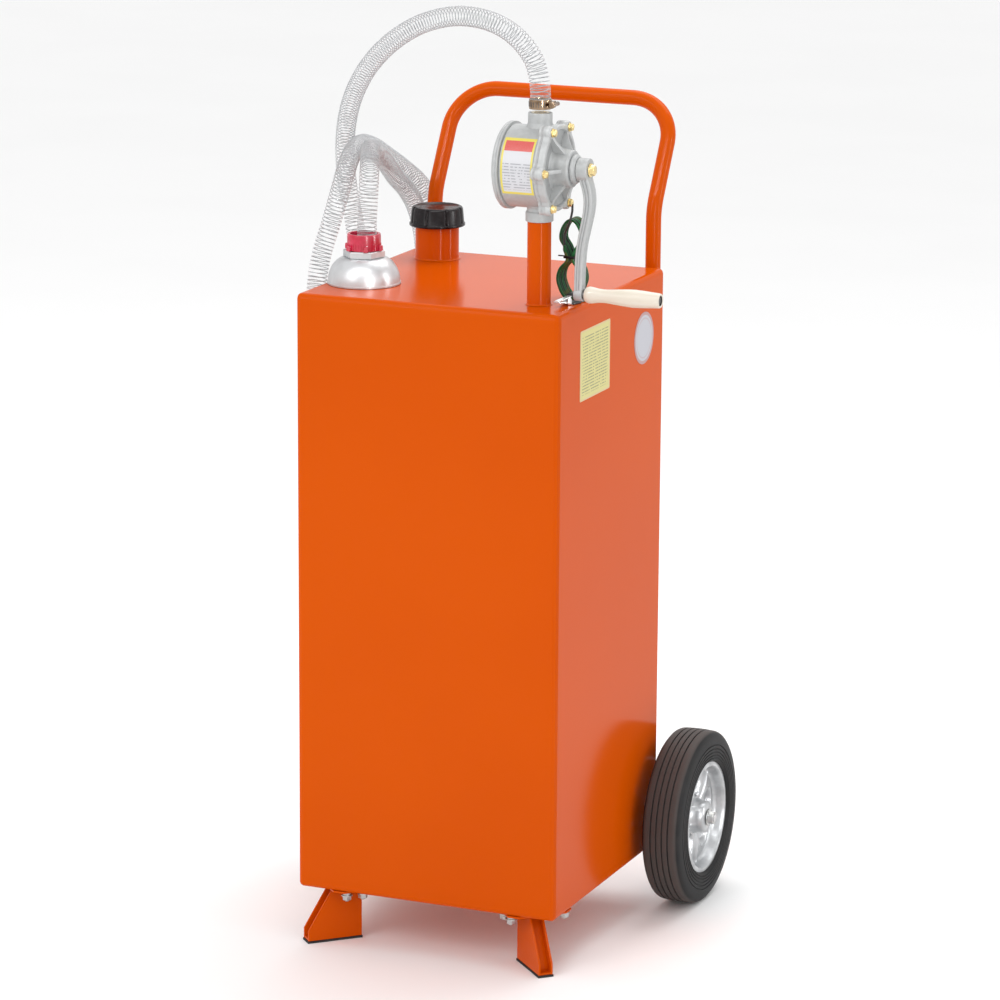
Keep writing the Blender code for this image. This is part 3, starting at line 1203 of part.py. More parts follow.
def round_sweep(path, radius, sides=TINY):
    """Bmesh of a round bar along a path, its rings carried on without twist."""
    ahead = (path[1] - path[0]).normalized()
    across = ahead.orthogonal().normalized()
    rings = []
    for i, point in enumerate(path):
        new = (path[min(i + 1, len(path) - 1)] - path[max(i - 1, 0)]).normalized()
        across = ahead.rotation_difference(new) @ across
        ahead = new
        up = ahead.cross(across)
        rings.append([point + across * x + up * y for x, y in regular(sides, radius)])
    return skinned_mesh(rings)


def make_feet(root):
    """Folded sheet feet at the two front corners, with rubber pads under them."""
    t = FOOT_SHEET
    base = PAD_THICK + SEAT
    plate_low = TANK_LIFT - SEAT - t
    toe_z = base + FOOT_TOE_HEIGHT
    slant_top = FOOT_TOE + FOOT_SLANT
    web = [(FOOT_TOE, base), (FOOT_HEEL, base), (FOOT_HEEL, plate_low + t / 2),
           (slant_top, plate_low + t / 2), (FOOT_TOE, toe_z)]
    slope = hypot(FOOT_SLANT, plate_low - toe_z) / (plate_low - toe_z)
    flange = [(FOOT_TOE, base), (FOOT_TOE + t, base), (FOOT_TOE + t, toe_z - t / 3),
              (slant_top + t * slope, plate_low + t / 2), (slant_top, plate_low + t / 2), (FOOT_TOE, toe_z)]
    for side, word in ((-1, "left"), (1, "right")):
        def corner_frame(outline, low, high, upright):
            """Bmesh in world axes of an outline given in the corner's frame."""
            bm = prism_mesh(outline, low, high)
            stand = Matrix(((1, 0, 0), (0, 0, 1), (0, 1, 0))) if upright else Matrix.Identity(3)
            root_half = 0.5 ** 0.5
            lay = Matrix(((root_half, root_half, 0), (root_half, -root_half, 0), (0, 0, 1)))
            mirror = Matrix.Diagonal((-side, 1, 1))
            bmesh.ops.transform(bm, matrix=(mirror @ lay @ stand).to_4x4(), verts=bm.verts)
            return bm
        place = (side * TANK_HALF_X, -TANK_HALF_Y, 0)
        foot = as_object(f"foot_{word}", corner_frame(web, FOOT_OFFSET, FOOT_OFFSET + t, True),
                         "orange paint", root, place)
        join(foot, as_object(f"tool_foot_flange_{word}",
                             corner_frame(flange, FOOT_OFFSET + t - FOOT_FLANGE, FOOT_OFFSET + t / 2, True),
                             "orange paint", root, place))
        start = FOOT_PLATE_START
        near = start - FOOT_PLATE_MARGIN
        far = FOOT_PLATE_HALF
        plate = [(start, -near), (start + far - near, -far), (FOOT_PLATE_END, -far), (FOOT_PLATE_END, far),
                 (start + far - near, far), (start, near)]
        join(foot, as_object(f"tool_foot_plate_{word}", corner_frame(plate, plate_low, plate_low + t, False),
                             "orange paint", root, place))
        s = PAD_SPREAD
        pad_far = FOOT_OFFSET + t - FOOT_FLANGE - s
        pad = [(FOOT_TOE - s, FOOT_OFFSET + t + s), (FOOT_TOE - s, pad_far), (FOOT_TOE + t + s, pad_far),
               (FOOT_TOE + t + s, FOOT_OFFSET - s), (FOOT_HEEL + s, FOOT_OFFSET - s),
               (FOOT_HEEL + s, FOOT_OFFSET + t + s)]
        as_object(f"foot_pad_{word}", corner_frame(pad, 0, PAD_THICK, False), "black rubber", root, place)


def tyre_profile():
    """Half of the tyre's section, mirrored about its middle: radius and side."""
    crown = WHEEL_R
    rib = (2 * TREAD_HALF - TREAD_GROOVES * TREAD_GROOVE) / (TREAD_GROOVES + 1)
    tread = []
    at = -TREAD_HALF
    for i in range(TREAD_GROOVES + 1):
        for edge in (at, at + rib):
            share = abs(edge) / TREAD_HALF
            tread.append((crown - TYRE_CROWN * share ** 2, edge))
        at += rib
        if i < TREAD_GROOVES:
            share = abs(at + TREAD_GROOVE / 2) / TREAD_HALF
            floor = crown - TYRE_CROWN * share ** 2 - TREAD_DEPTH
            tread.append((floor, at))
            tread.append((floor, at + TREAD_GROOVE))
            at += TREAD_GROOVE
    side = [(WHEEL_R * radius, TYRE_HALF * out) for radius, out in TYRE_SIDE_SHARES]
    right = side + [(TYRE_SEAT_R, TYRE_BEAD_HALF)]
    left = [(radius, -out) for radius, out in reversed(right)]
    return left + tread + right


def make_wheels(root):
    """Two wheels on one axle, held by two brackets on the tank's back."""
    axle_place = (0, WHEEL_Y, AXLE_Z)
    step_x = NUT_X - SEAT
    turned("axle", [(0, -AXLE_END_X), (AXLE_END_R, -AXLE_END_X), (AXLE_END_R, -step_x), (AXLE_R, -step_x),
                    (AXLE_R, step_x), (AXLE_END_R, step_x), (AXLE_END_R, AXLE_END_X), (0, AXLE_END_X)],
           "steel", root, axle_place, sides=MEDIUM, axis="X")
    for side, word in ((-1, "left"), (1, "right")):
        holder = empty(f"wheel_axis_{word}", (side * WHEEL_X, WHEEL_Y, AXLE_Z), root)
        turned(f"tyre_{word}", tyre_profile(), "black rubber", holder, sides=LARGE, axis="X")
        rim_r = TYRE_SEAT_R - SEAT
        rim_in = rim_r - RIM_THICK
        out, inn = HUB_WEB_OUT, HUB_WEB_IN
        bore = AXLE_R + SEAT
        profile = [(bore, -HUB_BOSS_IN), (HUB_BOSS_R, -HUB_BOSS_IN), (HUB_BOSS_R, inn),
                   (rim_in, inn), (rim_in + RIM_LIP, -RIM_HALF), (rim_r, -RIM_HALF), (rim_r, RIM_HALF),
                   (rim_in + RIM_LIP, RIM_HALF), (rim_in, out), (HUB_BOSS_R + HUB_DISH, out - HUB_DISH / 2),
                   (HUB_BOSS_R, HUB_BOSS_OUT - HUB_DISH), (HUB_BOSS_R - HUB_DISH / 2, HUB_BOSS_OUT),
                   (bore, HUB_BOSS_OUT)]
        hub = turned(f"hub_{word}", [(r, side * a) for r, a in profile], "cast grey", holder,
                     sides=LARGE, axis="X")
        for i in range(HUB_POCKETS):
            angle = tau * (i + 1 / 4) / HUB_POCKETS
            low, high = sorted((side * HUB_POCKET_FLOOR, side * (out + OVERRUN)))
            pocket = turned(f"cutter_hub_{word}_{i}", rod(HUB_POCKET_R, low, high), "steel", holder,
                            (0, HUB_POCKET_RING_R * cos(angle), HUB_POCKET_RING_R * sin(angle)),
                            sides=TINY, axis="X")
            cut(hub, pocket)
        seat = side * NUT_X
        low, high = sorted((seat, seat + side * NUT_WASHER))
        nut = turned(f"axle_nut_{word}", pipe(AXLE_END_R + SEAT, NUT_WASHER_R, low, high), "zinc", root,
                     axle_place, sides=SMALL, axis="X")
        low, high = sorted((seat + side * NUT_WASHER / 2, seat + side * (NUT_WASHER + NUT_LENGTH)))
        join(nut, prism(f"tool_axle_nut_{word}", regular(HEX_SIDES, NUT_R), low, high, "zinc", root,
                        axle_place, axis="X"))
        cut(nut, turned(f"cutter_axle_nut_{word}", rod(AXLE_END_R + SEAT, *sorted((seat - side * OVERRUN,
                                                                             side * (AXLE_END_X + SEAT)))),
                        "steel", root, axle_place, sides=SMALL, axis="X"))
        make_bracket(word, side * BRACKET_X, root)


def make_bracket(word, x, root):
    """Channel on the tank's back wall that carries the axle."""
    wall = TANK_HALF_Y + SEAT
    t = BRACKET_SHEET
    half = BRACKET_HEIGHT / 2
    nose = WHEEL_Y
    ear = [(wall, -half), (wall, half)]
    for step in range(9):
        angle = pi / 2 - pi * step / 8
        ear.append((nose + BRACKET_NOSE_R * cos(angle), BRACKET_NOSE_R * sin(angle)))
    bm = prism_mesh(ear, -BRACKET_HALF, -BRACKET_HALF + t)
    stand = Matrix(((0, 0, 1), (1, 0, 0), (0, 1, 0)))
    bmesh.ops.transform(bm, matrix=stand.to_4x4(), verts=bm.verts)
    place = (x, 0, AXLE_Z)
    bracket = as_object(f"axle_bracket_{word}", bm, "orange paint", root, place)
    bm = prism_mesh(ear, BRACKET_HALF - t, BRACKET_HALF)
    bmesh.ops.transform(bm, matrix=stand.to_4x4(), verts=bm.verts)
    join(bracket, as_object(f"tool_bracket_ear_{word}", bm, "orange paint", root, place))
    join(bracket, prism(f"tool_bracket_back_{word}", box_outline(-BRACKET_HALF, BRACKET_HALF, wall, wall + t),
                        -half, half, "orange paint", root, place))
    cut(bracket, turned(f"cutter_bracket_{word}", rod(AXLE_R + SEAT, -BRACKET_HALF - OVERRUN,
                                                      BRACKET_HALF + OVERRUN), "steel", root,
                        (x, WHEEL_Y, AXLE_Z), sides=MEDIUM, axis="X"))


def main():
    """Build the whole caddy."""
    clear_scene()
    root = empty("caddy", (-ORIGIN_X, -ORIGIN_Y, 0))
    make_tank(root)
    make_filler(root)
    make_riser(root)
    pump = make_pump(root)
    make_crank(pump)
    make_hose(root)
    make_strainer(root)
    make_grounding(root, pump)
    make_handle(root)
    make_feet(root)
    make_wheels(root)
    print("origin is the tank's centre shifted by", round(ORIGIN_X, 5), round(ORIGIN_Y, 5))


main()
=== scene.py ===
"""Scene of a fuel caddy: orange sheet-steel tank on wheels with a crank pump, clear hose and grounding lead.

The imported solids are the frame. Each sub-assembly below is a class that holds its sizes, builds the pieces
that need a finer shape than their solid, and dresses the rest. Lengths are metres, +Z is up.
"""
from __future__ import annotations

import json
import logging
from dataclasses import dataclass
from enum import Enum
from math import atan2, cos, exp, hypot, pi, radians, sin, tau
from typing import Callable, Iterable, Sequence, Union

import bmesh
import bpy
from mathutils import Matrix, Vector

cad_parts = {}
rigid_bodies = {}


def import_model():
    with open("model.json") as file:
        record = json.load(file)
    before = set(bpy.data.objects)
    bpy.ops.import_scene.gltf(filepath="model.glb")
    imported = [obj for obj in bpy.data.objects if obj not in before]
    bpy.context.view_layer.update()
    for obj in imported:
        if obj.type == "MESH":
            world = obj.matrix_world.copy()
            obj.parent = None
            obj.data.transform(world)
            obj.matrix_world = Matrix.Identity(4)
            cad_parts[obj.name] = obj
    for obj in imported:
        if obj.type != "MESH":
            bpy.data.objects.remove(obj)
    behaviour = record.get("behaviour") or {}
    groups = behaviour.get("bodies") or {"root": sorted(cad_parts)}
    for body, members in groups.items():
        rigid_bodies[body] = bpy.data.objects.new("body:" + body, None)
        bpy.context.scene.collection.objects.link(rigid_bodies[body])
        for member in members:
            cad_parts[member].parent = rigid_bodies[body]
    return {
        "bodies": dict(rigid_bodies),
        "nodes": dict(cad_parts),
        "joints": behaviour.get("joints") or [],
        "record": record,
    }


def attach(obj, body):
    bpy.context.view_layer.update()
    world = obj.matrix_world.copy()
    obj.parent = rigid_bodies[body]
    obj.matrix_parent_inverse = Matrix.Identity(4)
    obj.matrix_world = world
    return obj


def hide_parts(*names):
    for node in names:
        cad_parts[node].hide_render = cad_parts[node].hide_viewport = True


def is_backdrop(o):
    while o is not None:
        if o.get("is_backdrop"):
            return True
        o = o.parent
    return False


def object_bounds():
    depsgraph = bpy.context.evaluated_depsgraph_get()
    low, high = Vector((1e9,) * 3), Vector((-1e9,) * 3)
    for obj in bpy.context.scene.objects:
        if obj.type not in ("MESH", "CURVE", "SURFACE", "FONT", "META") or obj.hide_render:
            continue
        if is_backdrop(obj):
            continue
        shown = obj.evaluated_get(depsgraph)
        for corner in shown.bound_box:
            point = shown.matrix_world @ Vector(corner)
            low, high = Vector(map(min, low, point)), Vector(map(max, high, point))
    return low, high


log = logging.getLogger("caddy")

Point = tuple[float, float, float]
Flat = tuple[float, float]
Shade = tuple[float, float, float]
Lay = Callable[[float, float, float], Vector]

# Middle of the tank on the floor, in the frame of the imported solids
FLOOR_CENTRE = Vector((-0.017065, -0.066902, 0.0))
# Gap under a piece that is seated on another
SEAT = 0.0003
# Smallest radius of a turned profile, where it meets its axis
POLE = 0.0001
# Places that more than one sub-assembly uses, measured from the tank's centre
TANK_TOP = 0.9366
TANK_HALF_X = 0.19625
TANK_HALF_Y = 0.19650
NECK_SPOT: Flat = (-0.1300, 0.1347)
POST_SPOT: Flat = (0.1380, -0.1290)
SHAFT_START: Point = (0.0900, -0.1290, 1.1253)
AXLE: Flat = (0.2108, 0.1270)
# Noise values between which a finish goes over to its second shade
MOTTLE: Flat = (0.35, 0.68)


def placed(point: Sequence[float]) -> Vector:
    """Move a point measured from the tank's centre into the frame.

    Args:
        point: Place measured from the middle of the tank, on the floor.

    Returns:
        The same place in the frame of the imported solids.
    """
    return Vector(point) + FLOOR_CENTRE


class Body(Enum):
    """Rigid bodies that the pieces ride on."""

    CADDY = "caddy"
    CRANK = "crank"
    GRIP = "grip"
    WHEEL_LEFT = "wheel_left"
    WHEEL_RIGHT = "wheel_right"
    CAP = "cap"
    CAP_SEAL = "cap_seal"
    CLIP_JAW = "clip_jaw"


class Along(Enum):
    """Axis that a turned piece is spun about."""

    X = "X"
    Y = "Y"
    Z = "Z"


class Slot(Enum):
    """Material slots of the record."""

    PAINT = "orange_paint"
    CASTING = "cast_grey"
    PLASTIC = "black_plastic"
    RUBBER = "black_rubber"
    TYRE = "tyre"
    BRASS = "brass"
    ZINC = "zinc"
    STEEL = "steel"
    WOOD = "wood"
    HOSE = "clear_hose"
    SHELL = "silver_shell"
    CRIMSON = "crimson_plastic"
    GREEN = "green_wire"
    BLACK_WIRE = "black_wire"
    GRAPHITE = "graphite"


# Shader maths


class Value:
    """Shader socket that takes part in sums and products."""

    def __init__(self, graph: "Graph", socket: bpy.types.NodeSocket) -> None:
        """Wrap one output socket of a graph."""
        self.graph = graph
        self.socket = socket

    def _apply(self, operation: str, first: "Term", second: "Term" = 0.0) -> "Value":
        """Add a Math node.

        Args:
            operation: Name of the Math node's operation.
            first: First operand.
            second: Second operand.

        Returns:
            The node's result.
        """
        node = self.graph.node("ShaderNodeMath", {"operation": operation}, {0: first, 1: second})
        return Value(self.graph, node.outputs[0])

    def __add__(self, other: "Term") -> "Value":
        """Sum."""
        return self._apply("ADD", self, other)

    __radd__ = __add__

    def __sub__(self, other: "Term") -> "Value":
        """Difference."""
        return self._apply("SUBTRACT", self, other)

    def __rsub__(self, other: "Term") -> "Value":
        """Difference from a number."""
        return self._apply("SUBTRACT", other, self)

    def __mul__(self, other: "Term") -> "Value":
        """Product."""
        return self._apply("MULTIPLY", self, other)

    __rmul__ = __mul__

    def __truediv__(self, other: "Term") -> "Value":
        """Quotient."""
        return self._apply("DIVIDE", self, other)

    def __pow__(self, other: "Term") -> "Value":
        """Power."""
        return self._apply("POWER", self, other)

    def __gt__(self, other: "Term") -> "Value":
        """One where this is greater, else zero."""
        return self._apply("GREATER_THAN", self, other)

    def __lt__(self, other: "Term") -> "Value":
        """One where this is less, else zero."""
        return self._apply("LESS_THAN", self, other)

    def __abs__(self) -> "Value":
        """Size without sign."""
        return self._apply("ABSOLUTE", self)

    def sine(self) -> "Value":
        """Sine."""
        return self._apply("SINE", self)

    def fraction(self) -> "Value":
        """What is left above the whole number."""
        return self._apply("FRACT", self)

    def eased(self, low: float, high: float) -> "Value":
        """Smooth step.

        Args:
            low: Value at which the step leaves zero.
            high: Value at which it reaches one.

        Returns:
            A value from zero to one.
        """
        values = {"Value": self, "From Min": low, "From Max": high}
        node = self.graph.node("ShaderNodeMapRange", {"interpolation_type": "SMOOTHSTEP"}, values)
        return Value(self.graph, node.outputs["Result"])


Term = Union[Value, float, int]


class Graph:
    """Node tree of one material."""

    def __init__(self, name: str) -> None:
        """Start a material with its Principled shader.

        Args:
            name: Name of the material.
        """
        self.material = bpy.data.materials.new(name)
        self.material.use_nodes = True
        self.tree = self.material.node_tree
        self.shader = self.tree.nodes["Principled BSDF"]

    def node(self, kind: str, settings: dict[str, object] | None = None,
             values: dict[object, object] | None = None) -> bpy.types.Node:
        """Add a node.

        Args:
            kind: Blender's name of the node type.
            settings: Attributes that are set first.
            values: Values or links of its input sockets, by name or number.

        Returns:
            The new node.
        """
        node = self.tree.nodes.new(kind)
        for key, value in (settings or {}).items():
            setattr(node, key, value)
        for key, value in (values or {}).items():
            self._feed(node.inputs[key], value)
        return node

    def _feed(self, socket: bpy.types.NodeSocket, value: object) -> None:
        """Link a socket or set its value.

        Args:
            socket: Input socket.
            value: Value to link, or a plain number, colour or vector.
        """
        if isinstance(value, Value):
            self.tree.links.new(value.socket, socket)
        elif socket.type == "RGBA" and len(value) == 3:
            socket.default_value = (*value, 1.0)
        else:
            socket.default_value = value

    def put(self, socket: str, value: object) -> None:
        """Feed one socket of the Principled shader."""
        self._feed(self.shader.inputs[socket], value)

    def place(self) -> tuple[Value, Value, Value]:
        """Place of the shaded point.

        Returns:
            Its X, Y and Z in metres.
        """
        here = self.node("ShaderNodeTexCoord")
        parts = self.node("ShaderNodeSeparateXYZ", {}, {0: Value(self, here.outputs["Object"])})
        return tuple(Value(self, parts.outputs[axis]) for axis in "XYZ")

    def noise(self, scale: float, detail: float = 3.0, stretch: Point = (1.0, 1.0, 1.0)) -> Value:
        """Noise over the object.

        Args:
            scale: Spots per metre.
            detail: Octaves.
            stretch: Scale along each axis.

        Returns:
            A value round one half.
        """
        here = self.node("ShaderNodeTexCoord")
        place = {"Vector": Value(self, here.outputs["Object"]), "Scale": stretch}
        laid = self.node("ShaderNodeMapping", {}, place)
        values = {"Vector": Value(self, laid.outputs[0]), "Scale": scale, "Detail": detail}
        return Value(self, self.node("ShaderNodeTexNoise", {}, values).outputs[0])

    def mix(self, share: Term, first: object, second: object) -> Value:
        """Blend two colours.

        Args:
            share: Zero for the first, one for the second.
            first: Colour or link.
            second: Colour or link.

        Returns:
            The blended colour.
        """
        node = self.node("ShaderNodeMix", {"data_type": "RGBA"})
        self._feed(node.inputs[0], share)
        self._feed(node.inputs[6], first)
        self._feed(node.inputs[7], second)
        return Value(self, node.outputs[2])

    def edges(self, low: float, high: float) -> Value:
        """One on outward edges, zero on flats."""
        node = self.node("ShaderNodeNewGeometry")
        return Value(self, node.outputs["Pointiness"]).eased(low, high)

    def bump(self, height: Term, depth: float) -> None:
        """Raise the surface by a height."""
        node = self.node("ShaderNodeBump", {}, {"Strength": 1.0, "Distance": depth, "Height": height})
        self.put("Normal", Value(self, node.outputs[0]))


# Finishes


@dataclass(frozen=True)
class Finish:
    """Plain finish with mottling and a fine grain."""

    name: str
    slot: Slot
    color: Shade
    roughness: float = 0.4
    metallic: float = 0.0
    second: Shade = (0.5, 0.5, 0.5)
    coat: float = 0.0
    spots: float = 30.0
    swing: float = 0.08
    grain: float = 900.0
    depth: float = 0.0
    wear_and_highlight: Shade | None = None
    gloss: float = 0.5

    def material(self) -> bpy.types.Material:
        """Make the material at its first use.

        Returns:
            The material of this finish.
        """
        if self.name in bpy.data.materials:
            return bpy.data.materials[self.name]
        graph = Graph(self.name)
        self.dress(graph)
        graph.material.diffuse_color = (*self.color, 1.0)
        return graph.material

    def dress(self, graph: Graph) -> None:
        """Set the shader's sockets.

        Args:
            graph: Node tree to fill.
        """
        spots = graph.noise(self.spots, 4.0)
        shade = graph.mix(spots.eased(*MOTTLE), self.color, self.second)
        if self.wear_and_highlight:
            shade = graph.mix(graph.edges(0.52, 0.60) * 0.6, shade, self.wear_and_highlight)
        graph.put("Base Color", shade)
        fine = graph.noise(self.grain, 2.0)
        self.set_sheen(graph, spots, fine)
        if self.depth:
            graph.bump(fine, self.depth)

    def set_sheen(self, graph: Graph, *noises: Value) -> None:
        """Set what the finish reflects.

        Args:
            graph: Node tree to fill.
            noises: Noises that the roughness swings with.
        """
        roughness = self.roughness
        for noise in noises:
            roughness = roughness + (noise - 0.5) * self.swing
        graph.put("Roughness", roughness)
        graph.put("Metallic", self.metallic)
        graph.put("Coat Weight", self.coat)
        graph.put("Specular IOR Level", self.gloss)


@dataclass(frozen=True)
class Paint(Finish):
    """Powder coat: a soft gloss over a faint orange-peel ripple."""

    peel: float = 260.0

    def dress(self, graph: Graph) -> None:
        """Set the shader's sockets.

        Args:
            graph: Node tree to fill.
        """
        cloud = graph.noise(self.spots, 2.0)
        graph.put("Base Color", graph.mix(cloud.eased(0.3, 0.7), self.color, self.second))
        ripple = graph.noise(self.peel, 1.0)
        fine = graph.noise(self.grain, 2.0)
        self.set_sheen(graph, cloud, fine)
        graph.bump(ripple * 0.8 + fine * 0.2, self.depth)


@dataclass(frozen=True)
class ClearWall(Finish):
    """Clear soft plastic, less see-through towards its rims."""

    alpha: float = 0.05
    rim_alpha: float = 0.24

    def dress(self, graph: Graph) -> None:
        """Set the shader's sockets.

        Args:
            graph: Node tree to fill.
        """
        cloud = graph.noise(self.spots, 2.0)
        node = graph.node("ShaderNodeLayerWeight", {}, {"Blend": 0.35})
        facing = Value(graph, node.outputs["Facing"])
        graph.put("Base Color", graph.mix(cloud, self.color, self.second))
        self.set_sheen(graph, cloud)
        graph.put("Alpha", facing * (self.rim_alpha - self.alpha) + self.alpha)


@dataclass(frozen=True)
class Strands(Finish):
    """Insulation striped from strand to strand of a hank between a dark and a brighter green, with olive
    blotches: painted highlights on the strands.
    """

    repeat: float = 0.0131

    def dress(self, graph: Graph) -> None:
        """Set the shader's sockets.

        Args:
            graph: Node tree to fill.
        """
        _, y, _ = graph.place()
        cloud = graph.noise(self.spots, 2.0)
        # Painted highlights: the brighter green stripes and the olive blotches stand in for light on the
        # strands
        shade = graph.mix((y * (tau / self.repeat)).sine() * 0.45 + 0.45, self.color, self.second)
        graph.put("Base Color", graph.mix(cloud.eased(0.56, 0.66) * 0.8, shade, self.wear_and_highlight))
        self.set_sheen(graph, cloud)


@dataclass(frozen=True)
class TyreRubber(Finish):
    """Dark sidewalls round a tread painted lighter, as painted light falling on it."""

    axle: Flat = (0.0, 0.0)
    tread_radius: float = 0.1225
    shoulder: float = 0.0034
    # Lighter shade of the tread: painted light
    tread: Shade = (0.075, 0.064, 0.060)

    def dress(self, graph: Graph) -> None:
        """Set the shader's sockets.

        Args:
            graph: Node tree to fill.
        """
        _, y, z = graph.place()
        reach = ((y - self.axle[0]) ** 2.0 + (z - self.axle[1]) ** 2.0) ** 0.5
        cloud = graph.noise(self.spots, 3.0)
        fine = graph.noise(self.grain, 2.0)
        wall = graph.mix(cloud.eased(*MOTTLE), self.color, self.second)
        # Painted light: the tread is painted lighter than the sidewalls, where the lamps fall on it
        painted_lit_tread = reach.eased(self.tread_radius, self.tread_radius + self.shoulder) * (cloud * 0.5 + 0.75)
        graph.put("Base Color", graph.mix(painted_lit_tread, wall, self.tread))
        self.set_sheen(graph, cloud, fine)
        graph.bump(fine, self.depth)


@dataclass(frozen=True)
class Timber(Finish):
    """Pale turned wood with grain along the grip."""

    def dress(self, graph: Graph) -> None:
        """Set the shader's sockets.

        Args:
            graph: Node tree to fill.
        """
        grain = graph.noise(420.0, 4.0, (0.06, 1.0, 1.0))
        streak = graph.noise(90.0, 2.0, (0.10, 1.0, 1.0))
        lines = (grain * 9.0 + streak * 5.0).sine() * 0.5 + 0.5
        graph.put("Base Color", graph.mix(lines * 0.35 + streak * 0.3, self.color, self.second))
        self.set_sheen(graph, grain)
        graph.bump(lines, self.depth)


@dataclass(frozen=True)
class Label(Finish):
    """Printed film over faint fibres."""

    fibre_shade: Shade = (0.9, 0.9, 0.88)

    def print_on(self, graph: Graph, shade: Value) -> None:
        """Lay a printed colour over the film.

        Args:
            graph: Node tree to fill.
            shade: Colour of the print.
        """
        fibre = graph.noise(500.0, 3.0)
        graph.put("Base Color", graph.mix(fibre * 0.10, shade, self.fibre_shade))
        self.set_sheen(graph, fibre)
        graph.bump(fibre, self.depth)


@dataclass(frozen=True)
class RuledPlate(Label):
    """Label with a border and plain ruled lines, and no lettering."""

    fibre_shade: Shade = (0.9, 0.9, 0.85)
    centre: Point = (0.0, 0.0, 0.0)
    half: Flat = (0.05, 0.05)
    across: Along = Along.Y
    border: float = 0.003
    pitch: float = 0.006
    border_shade: Shade = (0.3, 0.3, 0.1)
    line_shade: Shade = (0.25, 0.22, 0.05)
    band: float = 0.0
    band_shade: Shade = (0.6, 0.05, 0.04)
    blank: float = 0.80

    def dress(self, graph: Graph) -> None:
        """Set the shader's sockets.

        Args:
            graph: Node tree to fill.
        """
        x, y, z = graph.place()
        aside = abs(y - self.centre[1] if self.across is Along.Y else x - self.centre[0])
        up = z - self.centre[2]
        wide, tall = self.half
        inside = (aside < wide - self.border) * (abs(up) < tall - self.border)
        ruled = ((up / self.pitch).fraction() < 0.34) * (aside < wide * 0.86)
        ruled = ruled * (abs(up) < tall * 0.84) * (up < tall * self.blank)
        broken = graph.noise(260.0, 1.0, (1.0, 1.0, 0.2)) > 0.43
        shade = graph.mix(ruled * broken * 0.75, self.color, self.line_shade)
        if self.band:
            shade = graph.mix(up > tall * (1 - self.band), shade, self.band_shade)
        self.print_on(graph, graph.mix(1 - inside, shade, self.border_shade))


@dataclass(frozen=True)
class RoundPlate(Label):
    """Round label with a plain ring near its edge, and no sign in it."""

    centre: Point = (0.0, 0.0, 0.0)
    ring: Flat = (0.0325, 0.0400)
    inner: Flat = (0.0270, 0.0290)
    ring_shade: Shade = (0.42, 0.22, 0.22)

    def dress(self, graph: Graph) -> None:
        """Set the shader's sockets.

        Args:
            graph: Node tree to fill.
        """
        _, y, z = graph.place()
        reach = ((y - self.centre[1]) ** 2.0 + (z - self.centre[2]) ** 2.0) ** 0.5
        bold = (reach > self.ring[0]) * (reach < self.ring[1])
        faint = (reach > self.inner[0]) * (reach < self.inner[1]) * 0.5
        self.print_on(graph, graph.mix(bold + faint, self.color, self.ring_shade))


PAINT = Paint("orange powder coat", Slot.PAINT, (0.61, 0.081, 0.0003), 0.15, second=(0.58, 0.074, 0.0003),
              spots=2.2, swing=0.05, grain=1400.0, depth=0.00004, gloss=0.06)
CASTING = Finish("cast grey", Slot.CASTING, (0.43, 0.44, 0.44), 0.50, 0.20, second=(0.39, 0.40, 0.40),
                 spots=140.0, swing=0.14, grain=1500.0, depth=0.00012, wear_and_highlight=(0.54, 0.55, 0.55))
WHEEL_SILVER = Finish("wheel silver", Slot.CASTING, (0.50, 0.51, 0.52), 0.32, 0.65, second=(0.38, 0.39, 0.40),
                      spots=60.0, swing=0.12, grain=1200.0, depth=0.00010, wear_and_highlight=(0.68, 0.69, 0.70))
BLACK = Finish("black moulded plastic", Slot.PLASTIC, (0.009, 0.007, 0.008), 0.26,
               second=(0.015, 0.012, 0.013), spots=80.0, swing=0.10, grain=1800.0, depth=0.00004, gloss=0.20)
RUBBER = Finish("black rubber", Slot.RUBBER, (0.014, 0.014, 0.015), 0.62, second=(0.024, 0.023, 0.022),
                spots=70.0, swing=0.16, grain=1600.0, depth=0.00010, gloss=0.25)
TYRE = TyreRubber("tyre rubber", Slot.TYRE, (0.013, 0.013, 0.014), 0.54, second=(0.020, 0.019, 0.019),
                  spots=35.0, swing=0.16, grain=1300.0, depth=0.00010, gloss=0.16,
                  axle=(AXLE[0] + FLOOR_CENTRE.y, AXLE[1]))
BRASS = Finish("brass", Slot.BRASS, (0.52, 0.41, 0.22), 0.24, 1.0, second=(0.36, 0.27, 0.13),
               spots=220.0, swing=0.16, grain=2000.0, depth=0.00003)
ZINC = Finish("zinc plate", Slot.ZINC, (0.50, 0.50, 0.48), 0.30, 1.0, second=(0.38, 0.39, 0.40),
              spots=160.0, swing=0.20, grain=1800.0, depth=0.00003)
STEEL = Finish("bright steel", Slot.STEEL, (0.60, 0.60, 0.61), 0.26, 1.0, second=(0.50, 0.50, 0.51),
               spots=120.0, swing=0.14, grain=2200.0, depth=0.00002)
